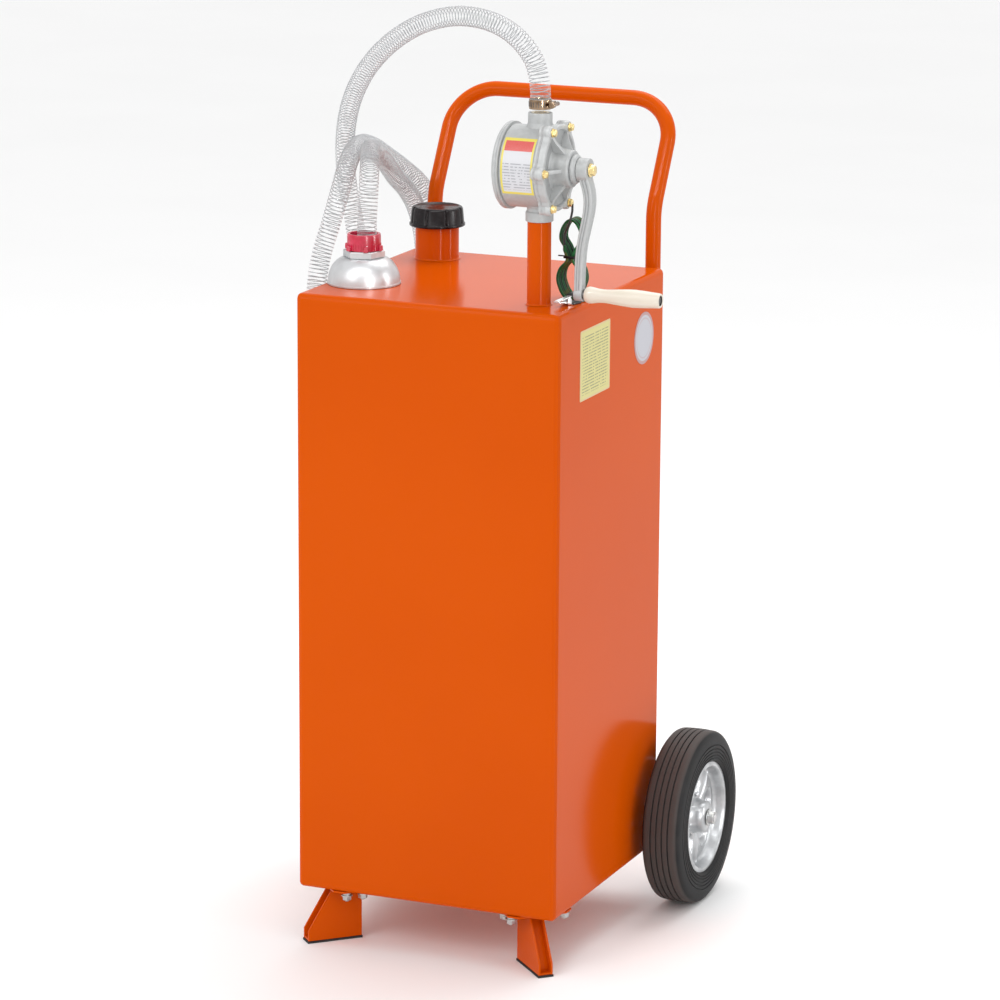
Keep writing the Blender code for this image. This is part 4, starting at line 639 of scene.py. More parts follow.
# Blackened steel of the spindle, also used as painted shade on the clamp's slots and in the grip's recess
DARK_STEEL_AND_PAINTED_SHADE = Finish("blackened steel", Slot.STEEL, (0.10, 0.10, 0.10), 0.36, 0.8, second=(0.16, 0.15, 0.15),
                    spots=160.0, swing=0.20, grain=1500.0, depth=0.00004)
PLATED = Finish("clip plating", Slot.ZINC, (0.86, 0.86, 0.85), 0.26, 0.75, second=(0.78, 0.78, 0.78),
                spots=160.0, swing=0.10, grain=1800.0, depth=0.00002)
WARM_STEEL = Finish("clamp steel", Slot.STEEL, (0.34, 0.24, 0.16), 0.20, 1.0, second=(0.20, 0.13, 0.08),
                    spots=120.0, swing=0.12, grain=1800.0, depth=0.00002)
WOOD = Timber("pale wood", Slot.WOOD, (0.73, 0.67, 0.58), 0.42, second=(0.66, 0.58, 0.46), coat=0.25,
              swing=0.10, depth=0.00004)
CLEAR = ClearWall("clear hose wall", Slot.HOSE, (0.97, 0.98, 1.0), 0.10, second=(0.93, 0.95, 0.98),
                  coat=0.6, spots=60.0, swing=0.06)
WIRE = Finish("hose wire", Slot.STEEL, (0.42, 0.43, 0.44), 0.30, 0.3, second=(0.30, 0.31, 0.32),
              spots=120.0, swing=0.10, grain=1600.0)
SHELL = Finish("silver plating", Slot.SHELL, (0.60, 0.61, 0.62), 0.36, 0.70, second=(0.54, 0.55, 0.56),
               spots=70.0, swing=0.10, grain=1200.0, depth=0.00004)
CRIMSON = Finish("crimson plastic", Slot.CRIMSON, (0.50, 0.008, 0.038), 0.24, second=(0.60, 0.016, 0.066),
                 coat=0.3, spots=90.0, swing=0.10, grain=1500.0, depth=0.00003)
# The brighter second green and the olive are painted highlights on the hank's strands
GREEN = Strands("green insulation", Slot.GREEN, (0.001, 0.018, 0.008), 0.28, second=(0.014, 0.170, 0.045),
                coat=0.12, spots=40.0, wear_and_highlight=(0.120, 0.110, 0.010), gloss=0.22)
BLACK_LEAD = Finish("black insulation", Slot.BLACK_WIRE, (0.010, 0.010, 0.011), 0.38,
                    second=(0.018, 0.018, 0.019), coat=0.2, spots=90.0, swing=0.10, grain=1200.0)
GASKET = Finish("gasket card", Slot.GRAPHITE, (0.42, 0.42, 0.42), 0.7, second=(0.36, 0.36, 0.36),
                spots=200.0, swing=0.15, grain=1500.0, depth=0.00003)
GRAPHITE = Finish("graphite", Slot.GRAPHITE, (0.05, 0.05, 0.055), 0.5, second=(0.08, 0.08, 0.085),
                  spots=200.0, swing=0.15, grain=1500.0, depth=0.00003)
FLOOR = Finish("studio floor", Slot.PLASTIC, (0.93, 0.93, 0.93), 0.8, second=(0.92, 0.92, 0.92), spots=1.5,
               swing=0.02, grain=40.0)


# Mesh tools


def add_object(name: str, data: bpy.types.ID) -> bpy.types.Object:
    """Link a new object to the scene.

    Args:
        name: Name of the object.
        data: Mesh, curve, light or camera that it shows.

    Returns:
        The new object.
    """
    piece = bpy.data.objects.new(name, data)
    bpy.context.scene.collection.objects.link(piece)
    return piece


def from_bmesh(name: str, bm: bmesh.types.BMesh, smooth: float = 38.0) -> bpy.types.Object:
    """Make an object of a bmesh.

    Args:
        name: Name of the piece.
        bm: Mesh to use up.
        smooth: Largest angle, in degrees, that is shaded as round.

    Returns:
        The new object.
    """
    bmesh.ops.recalc_face_normals(bm, faces=bm.faces)
    mesh = bpy.data.meshes.new(name)
    bm.to_mesh(mesh)
    bm.free()
    mesh.shade_smooth()
    mesh.set_sharp_from_angle(angle=radians(smooth))
    return add_object(name, mesh)


def turned_point(radius: float, height: float, angle: float, axis: Along) -> Point:
    """Point of a turned surface.

    Args:
        radius: Distance from the axis.
        height: Place along the axis.
        angle: Turn about the axis.
        axis: Axis of the piece.

    Returns:
        The point, with the axis through the origin.
    """
    a, b = radius * cos(angle), radius * sin(angle)
    return {Along.X: (height, a, b), Along.Y: (b, height, a), Along.Z: (a, b, height)}[axis]


def skin(bm: bmesh.types.BMesh, rings: Sequence[Sequence[Sequence[float]]], closed: bool = False,
         capped: bool = True) -> None:
    """Lay faces through rings of equal length.

    Args:
        bm: Mesh that takes the faces.
        rings: Rings of points.
        closed: Whether the last ring joins the first.
        capped: Whether open ends get a face.
    """
    rows = [[bm.verts.new(point) for point in ring] for ring in rings]
    for low, high in zip(rows, rows[1:] + (rows[:1] if closed else [])):
        for i in range(len(low)):
            j = (i + 1) % len(low)
            bm.faces.new((low[i], low[j], high[j], high[i]))
    if capped and not closed:
        bm.faces.new(rows[0])
        bm.faces.new(rows[-1])


def lathe(bm: bmesh.types.BMesh, profile: Sequence[Flat], axis: Along, place: Vector, sides: int = 64,
          closed: bool = False) -> None:
    """Spin a profile about an axis.

    Args:
        bm: Mesh that takes the faces.
        profile: Radius and height of each point.
        axis: Direction of the axis.
        place: Place that the axis runs through, from which the heights count.
        sides: Number of sides.
        closed: Whether the profile runs back to its first point.
    """
    turns = [tau * i / sides for i in range(sides)]
    skin(bm, [[Vector(turned_point(radius, height, turn, axis)) + place for turn in turns]
              for radius, height in profile], closed)


def turned(name: str, profile: Sequence[Flat], axis: Along, place: Vector, sides: int = 64,
           closed: bool = False) -> bpy.types.Object:
    """Make a turned piece.

    Args:
        name: Name of the piece.
        profile: Radius and height of each point.
        axis: Direction of the axis.
        place: Place that the axis runs through.
        sides: Number of sides.
        closed: Whether the profile runs back to its first point, as for a tube or ring.

    Returns:
        The new object.
    """
    bm = bmesh.new()
    lathe(bm, profile, axis, place, sides, closed)
    return from_bmesh(name, bm)


def rounded(profile: Sequence[Flat], radius: float, steps: int = 3, closed: bool = False) -> list[Flat]:
    """Round the corners of a profile.

    Args:
        profile: Corners in order.
        radius: Size of the rounding, cut down at short sides.
        steps: Points per corner, less one.
        closed: Whether the outline runs back to its first point.

    Returns:
        The profile with its corners rounded.
    """
    count = len(profile)
    out: list[Flat] = []
    for i, here in enumerate(profile):
        if not closed and i in (0, count - 1):
            out.append(here)
            continue
        before, after = profile[i - 1], profile[(i + 1) % count]
        back = (before[0] - here[0], before[1] - here[1])
        ahead = (after[0] - here[0], after[1] - here[1])
        size_back, size_ahead = max(hypot(*back), 1e-9), max(hypot(*ahead), 1e-9)
        reach = min(radius, size_back * 0.45, size_ahead * 0.45)
        start = (here[0] + back[0] / size_back * reach, here[1] + back[1] / size_back * reach)
        end = (here[0] + ahead[0] / size_ahead * reach, here[1] + ahead[1] / size_ahead * reach)
        for step in range(steps + 1):
            share = step / steps
            weights = ((1 - share) ** 2, 2 * share * (1 - share), share ** 2)
            out.append(tuple(sum(weight * knot[k] for weight, knot in zip(weights, (start, here, end)))
                             for k in (0, 1)))
    return out


def smooth_route(points: Sequence[Sequence[float]], count: int) -> list[Vector]:
    """Lay a smooth curve through a route whose first and last run stay straight.

    Args:
        points: Route as given.
        count: Number of points wanted.

    Returns:
        The points of the centre line, evenly spaced on its curved part.
    """
    knots = [Vector(point) for point in points]
    fine = []
    steps = 12
    for a, b, c, d in zip(knots, knots[1:], knots[2:], knots[3:]):
        t1 = (b - a).length ** 0.5
        t2 = t1 + (c - b).length ** 0.5
        t3 = t2 + (d - c).length ** 0.5
        for step in range(steps):
            t = t1 + (t2 - t1) * step / steps
            ab = a.lerp(b, t / t1)
            bc = b.lerp(c, (t - t1) / (t2 - t1))
            cd = c.lerp(d, (t - t2) / (t3 - t2))
            fine.append(ab.lerp(bc, t / t2).lerp(bc.lerp(cd, (t - t1) / (t3 - t1)), (t - t1) / (t2 - t1)))
    fine.append(knots[-2])
    return [knots[0]] + evenly(fine, count - 2) + [knots[-1]]


def evenly(points: Sequence[Vector], count: int) -> list[Vector]:
    """Space points evenly along a line of points.

    Args:
        points: Points of the line.
        count: Number of points wanted.

    Returns:
        The evenly spaced points.
    """
    reach = [0.0]
    for low, high in zip(points, points[1:]):
        reach.append(reach[-1] + (high - low).length)
    out = []
    at = 0
    for i in range(count):
        target = reach[-1] * i / (count - 1)
        while at < len(points) - 2 and reach[at + 1] < target:
            at += 1
        span = max(reach[at + 1] - reach[at], 1e-9)
        out.append(points[at].lerp(points[at + 1], (target - reach[at]) / span))
    return out


def line_length(points: Sequence[Vector]) -> float:
    """Length of a line of points."""
    return sum((high - low).length for low, high in zip(points, points[1:]))


def tube_curve(name: str, points: Sequence[Vector], radius: float, resolution: int = 6) -> bpy.types.Object:
    """Make a round tube as a curve of one open spline.

    Args:
        name: Name of the piece.
        points: Centre line.
        radius: Radius of the tube.
        resolution: Roundness of its section.

    Returns:
        The new curve object.
    """
    curve = bpy.data.curves.new(name, "CURVE")
    curve.dimensions = "3D"
    curve.bevel_depth = radius
    curve.bevel_resolution = resolution
    curve.use_fill_caps = True
    spline = curve.splines.new("POLY")
    spline.points.add(len(points) - 1)
    for knot, point in zip(spline.points, points):
        knot.co = (*point, 1.0)
    spline.use_smooth = True
    return add_object(name, curve)


def carried_frames(points: Sequence[Vector]) -> list[tuple[Vector, Vector, Vector]]:
    """Carry a pair of directions along a line without twist.

    Args:
        points: Points of the line.

    Returns:
        Place, side and up at each point.
    """
    frames = []
    ahead = (points[1] - points[0]).normalized()
    side = ahead.orthogonal().normalized()
    for i, point in enumerate(points):
        new = (points[min(i + 1, len(points) - 1)] - points[max(i - 1, 0)]).normalized()
        side = ahead.rotation_difference(new) @ side
        ahead = new
        frames.append((point, side, ahead.cross(side)))
    return frames


def swept(bm: bmesh.types.BMesh, points: Sequence[Vector], section: Sequence[Flat]) -> None:
    """Carry a section down a line.

    Args:
        bm: Mesh that takes the faces.
        points: Points of the line.
        section: Outline that is carried.
    """
    skin(bm, [[place + side * x + up * y for x, y in section] for place, side, up in carried_frames(points)])


def disc_outline(radius: float, sides: int, phase: float = 0.0) -> list[Flat]:
    """Corners of a regular outline."""
    turns = [phase + tau * i / sides for i in range(sides)]
    return [(radius * cos(turn), radius * sin(turn)) for turn in turns]


def lying_flat(centre: Vector) -> Lay:
    """Lay an outline flat, with its prism rising from a centre."""
    return lambda across, along, rise: centre + Vector((across, along, rise))


def facing_right(centre: Vector) -> Lay:
    """Stand an outline up, with its prism pointing to the right side."""
    return lambda across, up, out: centre + Vector((out, across, up))


def facing_out(centre: Vector, turn: float) -> Lay:
    """Stand an outline up, with its prism pointing away from an upright axis.

    Args:
        centre: Place that the axis runs through.
        turn: Direction in which the prism points.

    Returns:
        The way to lay the outline.
    """
    ahead = Vector((cos(turn), sin(turn), 0.0))
    aside = Vector((-sin(turn), cos(turn), 0.0))
    return lambda across, up, out: centre + ahead * out + aside * across + Vector((0.0, 0.0, up))


def bevelled_prism(bm: bmesh.types.BMesh, outline: Sequence[Flat], low: float, high: float, edge: float,
                   lay: Lay) -> None:
    """Make a prism whose end edges are chamfered.

    Args:
        bm: Mesh that takes the faces.
        outline: Corners of its outline.
        low: Height of one end.
        high: Height of the other end.
        edge: Size of the chamfer.
        lay: Way to lay the outline's x, y and height in the frame.
    """
    middle = (sum(x for x, _ in outline) / len(outline), sum(y for _, y in outline) / len(outline))
    rings = []
    for inset, height in ((edge, low), (0.0, low + edge), (0.0, high - edge), (edge, high)):
        ring = []
        for x, y in outline:
            from_middle = (x - middle[0], y - middle[1])
            share = 1 - inset / hypot(*from_middle)
            ring.append(lay(middle[0] + from_middle[0] * share, middle[1] + from_middle[1] * share, height))
        rings.append(ring)
    skin(bm, rings)


def weld_bead(radius: float, size: float) -> list[Flat]:
    """Profile of a fillet weld round a tube's foot."""
    return [(radius + size * (1 - sin(pi * i / 8)), size * (1 - cos(pi * i / 8))) for i in range(5)]


def rod(radius: float, low: float, high: float) -> list[Flat]:
    """Profile of a plain rod."""
    return [(POLE, low), (radius, low), (radius, high), (POLE, high)]


def smooth_share(share: float) -> float:
    """Smooth step of a share, kept between zero and one."""
    share = min(1.0, max(0.0, share))
    return share * share * (3 - 2 * share)


# Sub-assemblies


@dataclass
class Workshop:
    """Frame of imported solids, with the steps that fit a piece to it."""

    frame: dict
    count: int = 0

    def fit(self, piece: bpy.types.Object, body: Body, finish: Finish,
            replaces: Sequence[str] = ()) -> bpy.types.Object:
        """Finish a piece and hang it on its body.

        Args:
            piece: New object.
            body: Body that it rides on.
            finish: Its finish.
            replaces: Nodes that it stands for.

        Returns:
            The piece.
        """
        if not piece.data.materials:
            piece.data.materials.append(finish.material())
        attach(piece, body.value)
        if replaces:
            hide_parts(*replaces)
        self.count += 1
        log.info("fitted %s on %s", piece.name, body.value)
        return piece

    def dress(self, finish: Finish, *nodes: str) -> None:
        """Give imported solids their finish.

        Args:
            finish: Finish of them all.
            nodes: Names of the solids.
        """
        for node in nodes:
            solid = self.frame["nodes"][node]
            solid.data.materials.clear()
            solid.data.materials.append(finish.material())
            log.info("dressed %s", node)

    def softened(self, node: str, body: Body, finish: Finish, width: float, segments: int = 2,
                 angle: float = 30.0) -> bpy.types.Object:
        """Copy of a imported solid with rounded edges, in its place.

        Args:
            node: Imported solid.
            body: Body that it rides on.
            finish: Its finish.
            width: Size of the rounding.
            segments: Faces per rounding.
            angle: Least angle, in degrees, of an edge that is rounded.

        Returns:
            The new piece.
        """
        bm = bmesh.new()
        bm.from_mesh(self.frame["nodes"][node].data)
        bmesh.ops.remove_doubles(bm, verts=bm.verts, dist=0.00002)
        bmesh.ops.dissolve_limit(bm, angle_limit=radians(2.0), verts=bm.verts, edges=bm.edges)
        sharp = [edge for edge in bm.edges if edge.is_manifold and edge.calc_face_angle(0.0) > radians(angle)]
        bmesh.ops.bevel(bm, geom=sharp, offset=width, segments=segments, profile=0.5, affect="EDGES",
                        clamp_overlap=True)
        piece = from_bmesh(f"soft_{node}", bm, 45.0)
        return self.fit(piece, body, finish, [node])


@dataclass
class Tank:
    """Painted tank with its filler neck, riser post and plain labels."""

    shop: Workshop
    seam: float = 0.0004
    neck_radius: float = 0.0313
    neck_wall: float = 0.0025
    neck_height: float = 0.0688
    neck_weld: float = 0.0030
    mouth_radius: float = 0.0290
    mouth_length: float = 0.0189
    post_radius: float = 0.0163
    post_wall: float = 0.0030
    post_height: float = 0.1141
    post_weld: float = 0.0028
    tube_edge: float = 0.0006
    film: float = 0.0004
    plate_place: Flat = (-0.0670, 0.8525)
    plate_half: Flat = (0.0545, 0.0490)
    plate_corner: float = 0.0030
    disc_place: Flat = (0.1172, 0.8500)
    disc_radius: float = 0.0372

    def build(self) -> None:
        """Make the walls, the neck, the post and the labels, and paint the sheets."""
        self.shop.dress(PAINT, "tank_top", "tank_floor", "handle_standoff_left", "handle_standoff_right",
                        "axle_bracket_left", "axle_bracket_right")
        self.shop.dress(STEEL, "suction_tube")
        self.make_walls()
        self.make_neck()
        self.make_post()
        self.make_ruled_plate()
        self.make_round_plate()

    def make_walls(self) -> None:
        """Wrapped walls that reach the pans, so that the seams close under the paint."""
        bm = bmesh.new()
        bm.from_mesh(self.shop.frame["nodes"]["tank_shell"].data)
        for vert in bm.verts:
            vert.co.z += self.seam if vert.co.z > TANK_TOP / 2 else -self.seam
        self.shop.fit(from_bmesh("tank_walls", bm), Body.CADDY, PAINT, ["tank_shell"])

    def make_neck(self) -> None:
        """Filler neck, drawn in at its mouth."""
        outer, mouth, wall, height = self.neck_radius, self.mouth_radius, self.neck_wall, self.neck_height
        step = outer - mouth
        shoulder = height - self.mouth_length
        inner_shoulder = shoulder + 0.0007
        outline = [(outer, self.neck_weld), (outer, shoulder - step), (mouth, shoulder), (mouth, height),
                   (mouth - wall, height), (mouth - wall, inner_shoulder),
                   (outer - wall, inner_shoulder - step), (outer - wall, 0.0)]
        self.stand_tube("neck_tube", "filler_neck", NECK_SPOT, self.neck_weld, outline)

    def make_post(self) -> None:
        """Riser post that carries the pump."""
        outer, inner, height = self.post_radius, self.post_radius - self.post_wall, self.post_height
        outline = [(outer, self.post_weld), (outer, height), (inner, height), (inner, 0.0)]
        self.stand_tube("post_tube", "riser_post", POST_SPOT, self.post_weld, outline)

    def stand_tube(self, name: str, node: str, spot: Flat, weld: float, outline: Sequence[Flat]) -> None:
        """Stand a tube on the tank in its weld.

        Args:
            name: Name of the piece.
            node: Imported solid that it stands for.
            spot: Where it stands.
            weld: Size of its weld.
            outline: Section of its wall, from the weld's top round to the foot of the bore.
        """
        profile = weld_bead(outline[0][0], weld) + rounded(outline, self.tube_edge)[1:]
        piece = turned(name, profile, Along.Z, placed((*spot, TANK_TOP + SEAT)), 72, True)
        self.shop.fit(piece, Body.CADDY, PAINT, [node])

    def make_ruled_plate(self) -> None:
        """Plain ruled plate on the right side."""
        centre = placed((TANK_HALF_X, *self.plate_place))
        wide, tall = self.plate_half
        finish = RuledPlate("ruled plate", Slot.PLASTIC, (0.60, 0.54, 0.17), 0.42, coat=0.1, swing=0.08,
                            depth=0.00002, centre=tuple(centre), half=self.plate_half, across=Along.Y,
                            border=0.0026, pitch=0.0042, border_shade=(0.62, 0.46, 0.20),
                            line_shade=(0.08, 0.10, 0.03))
        outline = [(-wide, -tall), (wide, -tall), (wide, tall), (-wide, tall)]
        self.stick_on("side_plate", rounded(outline, self.plate_corner, 3, True), centre, finish)

    def make_round_plate(self) -> None:
        """Plain round plate on the right side."""
        centre = placed((TANK_HALF_X, *self.disc_place))
        finish = RoundPlate("round plate", Slot.PLASTIC, (0.46, 0.46, 0.51), 0.40, coat=0.1, swing=0.08,
                            depth=0.00002, centre=tuple(centre))
        self.stick_on("round_plate", disc_outline(self.disc_radius, 64), centre, finish)

    def stick_on(self, name: str, outline: Sequence[Flat], centre: Vector, finish: Finish) -> None:
        """Stick a printed film on the right side.

        Args:
            name: Name of the piece.
            outline: Outline of the film.
            centre: Middle of the film.
            finish: Its print.
        """
        bm = bmesh.new()
        bevelled_prism(bm, outline, 0.0, self.film, self.film / 3, facing_right(centre))
        self.shop.fit(from_bmesh(name, bm), Body.CADDY, finish)


@dataclass
class FillerCap:
    """Fluted screw cap over its gasket."""

    shop: Workshop
    top: float = 1.0120
    height: float = 0.0275
    radius: float = 0.0400
    top_radius: float = 0.0362
    lip: float = 0.0040
    bore: float = 0.0337
    mouth: float = 0.0360
    roof: float = 0.0035
    dish_radius: float = 0.0100
    dish_depth: float = 0.0009
    flutes: int = 8
    flute_sides: int = 30
    flute_depth: float = 0.0024
    groove: float = 0.046

    def build(self) -> None:
        """Make the cap and dress the gasket."""
        self.shop.dress(RUBBER, "cap_gasket")
        low, top, side, crown = self.top - self.height, self.top, self.radius, self.top_radius
        lip, dish, roof = low + self.lip, top - self.dish_depth, top - self.roof
        levels = [(self.mouth, low, 0.0), (side - 0.0006, low, 0.0), (side, low + 0.0006, 0.0),
                  (side, lip - 0.0006, 0.0), (side - 0.0006, lip, 0.1), (side - 0.0014, lip + 0.0010, 1.0),
                  (crown + 0.0008, top - 0.0040, 1.0), (crown, top - 0.0018, 1.0),
                  (crown - 0.0014, top - 0.0004, 0.9), (crown - 0.0028, top, 0.6), (crown - 0.0050, top, 0.0),
                  (crown - 0.0060, dish, 0.0), (self.dish_radius, dish, 0.0), (POLE, dish, 0.0),
                  (POLE, roof, 0.0), (self.bore, roof, 0.0)]
        turns = [tau * i / (self.flutes * self.flute_sides) for i in range(self.flutes * self.flute_sides)]
        bm = bmesh.new()
        skin(bm, [[self.skin_point(radius, height, share, turn) for turn in turns]
                  for radius, height, share in levels], True)
        self.shop.fit(from_bmesh("fluted_cap", bm, 50.0), Body.CAP, BLACK, ["filler_cap"])

    def skin_point(self, radius: float, height: float, share: float, turn: float) -> Vector:
        """Place a point of the cap's skin.

        Args:
            radius: Distance from the cap's axis between the flutes.
            height: Height in the frame.
            share: Share of the flutes' full depth.
            turn: Turn about the axis.

        Returns:
            The place in the frame.
        """
        pitch = tau / self.flutes
        aside = (turn + pitch / 2) % pitch - pitch / 2
        reach = radius - self.flute_depth * share * exp(-(aside / self.groove) ** 2)
        return placed((*NECK_SPOT, height)) + Vector((reach * cos(turn), reach * sin(turn), 0.0))


@dataclass
class Pump:
    """Rotary pump: housing, covers, gasket, gland, bolts and plain label."""

    shop: Workshop
    port_setback: float = 0.0480
    port_bore: float = 0.0125
    port_low: float = -0.0740
    port_high: float = 0.0740
    port_root: float = 0.0490
    body_radius: float = 0.0560
    body_bore: float = 0.0480
    body_low: float = 0.0103
    body_high: float = 0.0653
    body_edge: float = 0.0012
    flange: float = 0.0040
    cover_radius: float = 0.0580
    cover_low: float = 0.0674
    cover_thick: float = 0.0080
    cover_bore: float = 0.0080
    cover_edge: float = 0.0010
    lobe_radius: float = 0.0088
    lobe_proud: float = 0.0030
    web_reach: float = 0.0042
    web_spread: float = radians(15)
    web_bore: float = 0.0100
    ring_radius: float = 0.0595
    bolts: int = 6
    samples: int = 216
    hub_radius: float = 0.0255
    hub_length: float = 0.0225
    rim: float = 0.0060
    rim_height: float = 0.0022
    rib_thick: float = 0.0050
    gasket_bore: float = 0.0450
    gasket_inset: float = 0.0004
    film: float = 0.0004
    label_span: Flat = (0.0135, 0.0600)
    label_height: float = 1.1310
    label_half: float = 0.0370
    label_steps: int = 28

    def centre(self) -> Vector:
        """Where the pump's shaft starts."""
        return placed(SHAFT_START)

    def bolt_turns(self) -> list[float]:
        """Turn of each bolt from straight up towards the back."""
        return [tau * (i + 0.5) / self.bolts for i in range(self.bolts)]

    def lobe_centre(self, turn: float) -> Vector:
        """Where a bolt's axis crosses the plane in which the shaft starts."""
        return self.centre() + Vector((0.0, self.ring_radius * sin(turn), self.ring_radius * cos(turn)))

    def edge_reach(self, turn: float) -> float:
        """Measure the lobed edge in one direction.

        Args:
            turn: Direction, from straight up towards the back.

        Returns:
            Distance from the axis to the edge.
        """
        reach = self.cover_radius
        for bolt in self.bolt_turns():
            aside = self.ring_radius * sin(turn - bolt)
            if cos(turn - bolt) > 0 and abs(aside) < self.lobe_radius:
                ahead = self.ring_radius * cos(turn - bolt)
                reach = max(reach, ahead + (self.lobe_radius ** 2 - aside ** 2) ** 0.5)
            spread = abs((turn - bolt + pi) % tau - pi)
            web = self.web_reach * max(0.0, 1 - (spread / self.web_spread) ** 2)
            reach = max(reach, self.cover_radius + web)
        return reach

    def ring(self, radius: float | None, along: float, inset: float = 0.0) -> list[Vector]:
        """Lay a ring round the shaft.

        Args:
            radius: Its radius, or None for the lobed edge.
            along: Distance from the shaft's start.
            inset: How far it is drawn in.

        Returns:
            The points of the ring.
        """
        out = []
        for i in range(self.samples):
            turn = tau * i / self.samples
            reach = (self.edge_reach(turn) if radius is None else radius) - inset
            out.append(self.centre() + Vector((along, reach * sin(turn), reach * cos(turn))))
        return out

    def build(self) -> None:
        """Make the pump's visible pieces and dress the rest."""
        self.shop.dress(STEEL, "pump_shaft", "rotor")
        self.shop.dress(GRAPHITE, "vane_1", "vane_2")
        self.shop.dress(BRASS, "outlet_tail")
        self.make_housing()
        self.make_rear_cover()
        self.make_front_cover()
        self.make_gasket()
        self.make_gland()
        for i, turn in enumerate(self.bolt_turns()):
            self.make_bolt(i, turn)
        self.make_label()

    def make_housing(self) -> None:
        """Drum with its front flange and the two port bosses."""
        bm = bmesh.new()
        drum, low, high, edge = self.body_radius, self.body_low, self.body_high, self.body_edge
        back = high - self.flange
        skin(bm, [self.ring(drum - edge, low), self.ring(drum, low + edge), self.ring(drum, back - 2 * edge),
                  self.ring(drum + edge, back - edge / 2), self.ring(None, back, 1.2 * edge),
                  self.ring(None, back + edge), self.ring(None, high - edge / 2),
                  self.ring(None, high, edge / 2), self.ring(self.body_bore, high),
                  self.ring(self.body_bore, low)], True)
        port = self.centre() + Vector((self.port_setback, 0.0, 0.0))
        bore, low_end, high_end, root = self.port_bore, self.port_low, self.port_high, self.port_root
        inlet = [(bore, low_end), (0.0190, low_end), (0.0190, low_end + 0.0125), (0.0172, low_end + 0.0145),
                 (0.0172, -0.0560), (0.0200, -0.0525), (0.0200, -root), (bore, -root)]
        outlet = [(bore, root), (0.0190, root), (0.0190, 0.0540), (0.0166, 0.0600), (0.0166, high_end),
                  (bore, high_end)]
        for boss in (inlet, outlet):
            lathe(bm, rounded(boss, 0.0010, 3, True), Along.Z, port, 56, True)
        self.shop.fit(from_bmesh("housing", bm, 40.0), Body.CADDY, CASTING, ["pump_body"])

    def make_rear_cover(self) -> None:
        """Rear disc with its stepped rim."""
        profile = [(POLE, 0.0030), (0.0500, 0.0030), (0.0520, 0.0012), (0.0545, 0.0), (0.0570, 0.0012),
                   (0.0594, 0.0034), (0.0594, 0.0060), (0.0586, 0.0068), (0.0594, 0.0076), (0.0594, 0.0096),
                   (0.0588, 0.0100), (POLE, 0.0100)]
        bm = bmesh.new()
        lathe(bm, profile, Along.X, self.centre(), 96)
        self.shop.fit(from_bmesh("rear_disc", bm, 50.0), Body.CADDY, CASTING, ["rear_cover"])

    def make_front_cover(self) -> None:
        """Lobed cover with raised rim, hub, ribs and bolt bosses."""
        bm = bmesh.new()
        low, high, edge = self.cover_low, self.cover_low + self.cover_thick, self.cover_edge
        top, web = high + self.rim_height, high - self.rim_height
        inner = self.cover_radius - self.rim
        skin(bm, [self.ring(None, low, edge), self.ring(None, low + edge), self.ring(None, top - edge),
                  self.ring(None, top, edge), self.ring(inner + edge, top), self.ring(inner, top - edge),
                  self.ring(inner - edge, web + edge), self.ring(inner - 3 * edge, web),
                  self.ring(self.web_bore, web), self.ring(self.web_bore, low)], True)
        hub_end = high + self.hub_length
        hub = [(self.cover_bore, low + 0.002), (0.0330, web), (0.0288, high), (0.0272, high + 0.004),
               (self.hub_radius, hub_end - 0.0062), (self.hub_radius, hub_end - 0.0015),
               (self.hub_radius - 0.0015, hub_end), (self.cover_bore, hub_end)]
        lathe(bm, rounded(hub, 0.0012, 3, True), Along.X, self.centre(), 64, True)
        proud = high + self.lobe_proud
        boss = [(0.0033, high - 0.003), (0.0094, high - 0.003), (0.0084, proud - 0.0008), (0.0076, proud),
                (0.0033, proud)]
        for turn in self.bolt_turns():
            self.add_rib(bm, turn, high, hub_end)
            lathe(bm, boss, Along.X, self.lobe_centre(turn), 32, True)
        self.shop.fit(from_bmesh("ribbed_cover", bm, 40.0), Body.CADDY, CASTING, ["front_cover"])

    def add_rib(self, bm: bmesh.types.BMesh, turn: float, high: float, hub_end: float) -> None:
        """Add the triangular rib from the hub to one bolt.

        Args:
            bm: Mesh that takes the faces.
            turn: Turn of the bolt.
            high: Height of the cover's face.
            hub_end: Height of the hub's end.
        """
        centre = self.centre()
        root, foot, proud, crest = 0.0200, high - 0.004, high + self.lobe_proud, hub_end - 0.0070
        outline = [(root, foot), (0.0535, foot), (0.0535, proud - 0.0010), (0.0450, proud + 0.0015),
                   (self.hub_radius, crest), (root, crest)]

        def lay(reach: float, along: float, aside: float) -> Vector:
            """Place of a point of the rib."""
            return centre + Vector((along, reach * sin(turn) + aside * cos(turn),
                                    reach * cos(turn) - aside * sin(turn)))

        bevelled_prism(bm, outline, -self.rib_thick / 2, self.rib_thick / 2, 0.0008, lay)

    def make_gasket(self) -> None:
        """Card between the housing and its front cover."""
        low, high = self.body_high - SEAT, self.cover_low + SEAT
        bm = bmesh.new()
        skin(bm, [self.ring(None, low, self.gasket_inset), self.ring(None, high, self.gasket_inset),
                  self.ring(self.gasket_bore, high), self.ring(self.gasket_bore, low)], True)
        self.shop.fit(from_bmesh("gasket_sheet", bm), Body.CADDY, GASKET, ["cover_gasket"])

    def make_gland(self) -> None:
        """Shaft gland on the hub's end."""
        profile = rounded([(0.0078, 0.0982), (0.0200, 0.0982), (0.0200, 0.1022), (0.0170, 0.1052),
                           (0.0078, 0.1052)], 0.0009, 3, True)
        piece = turned("gland_cap", profile, Along.X, self.centre(), 56, True)
        self.shop.fit(piece, Body.CADDY, CASTING, ["shaft_gland"])

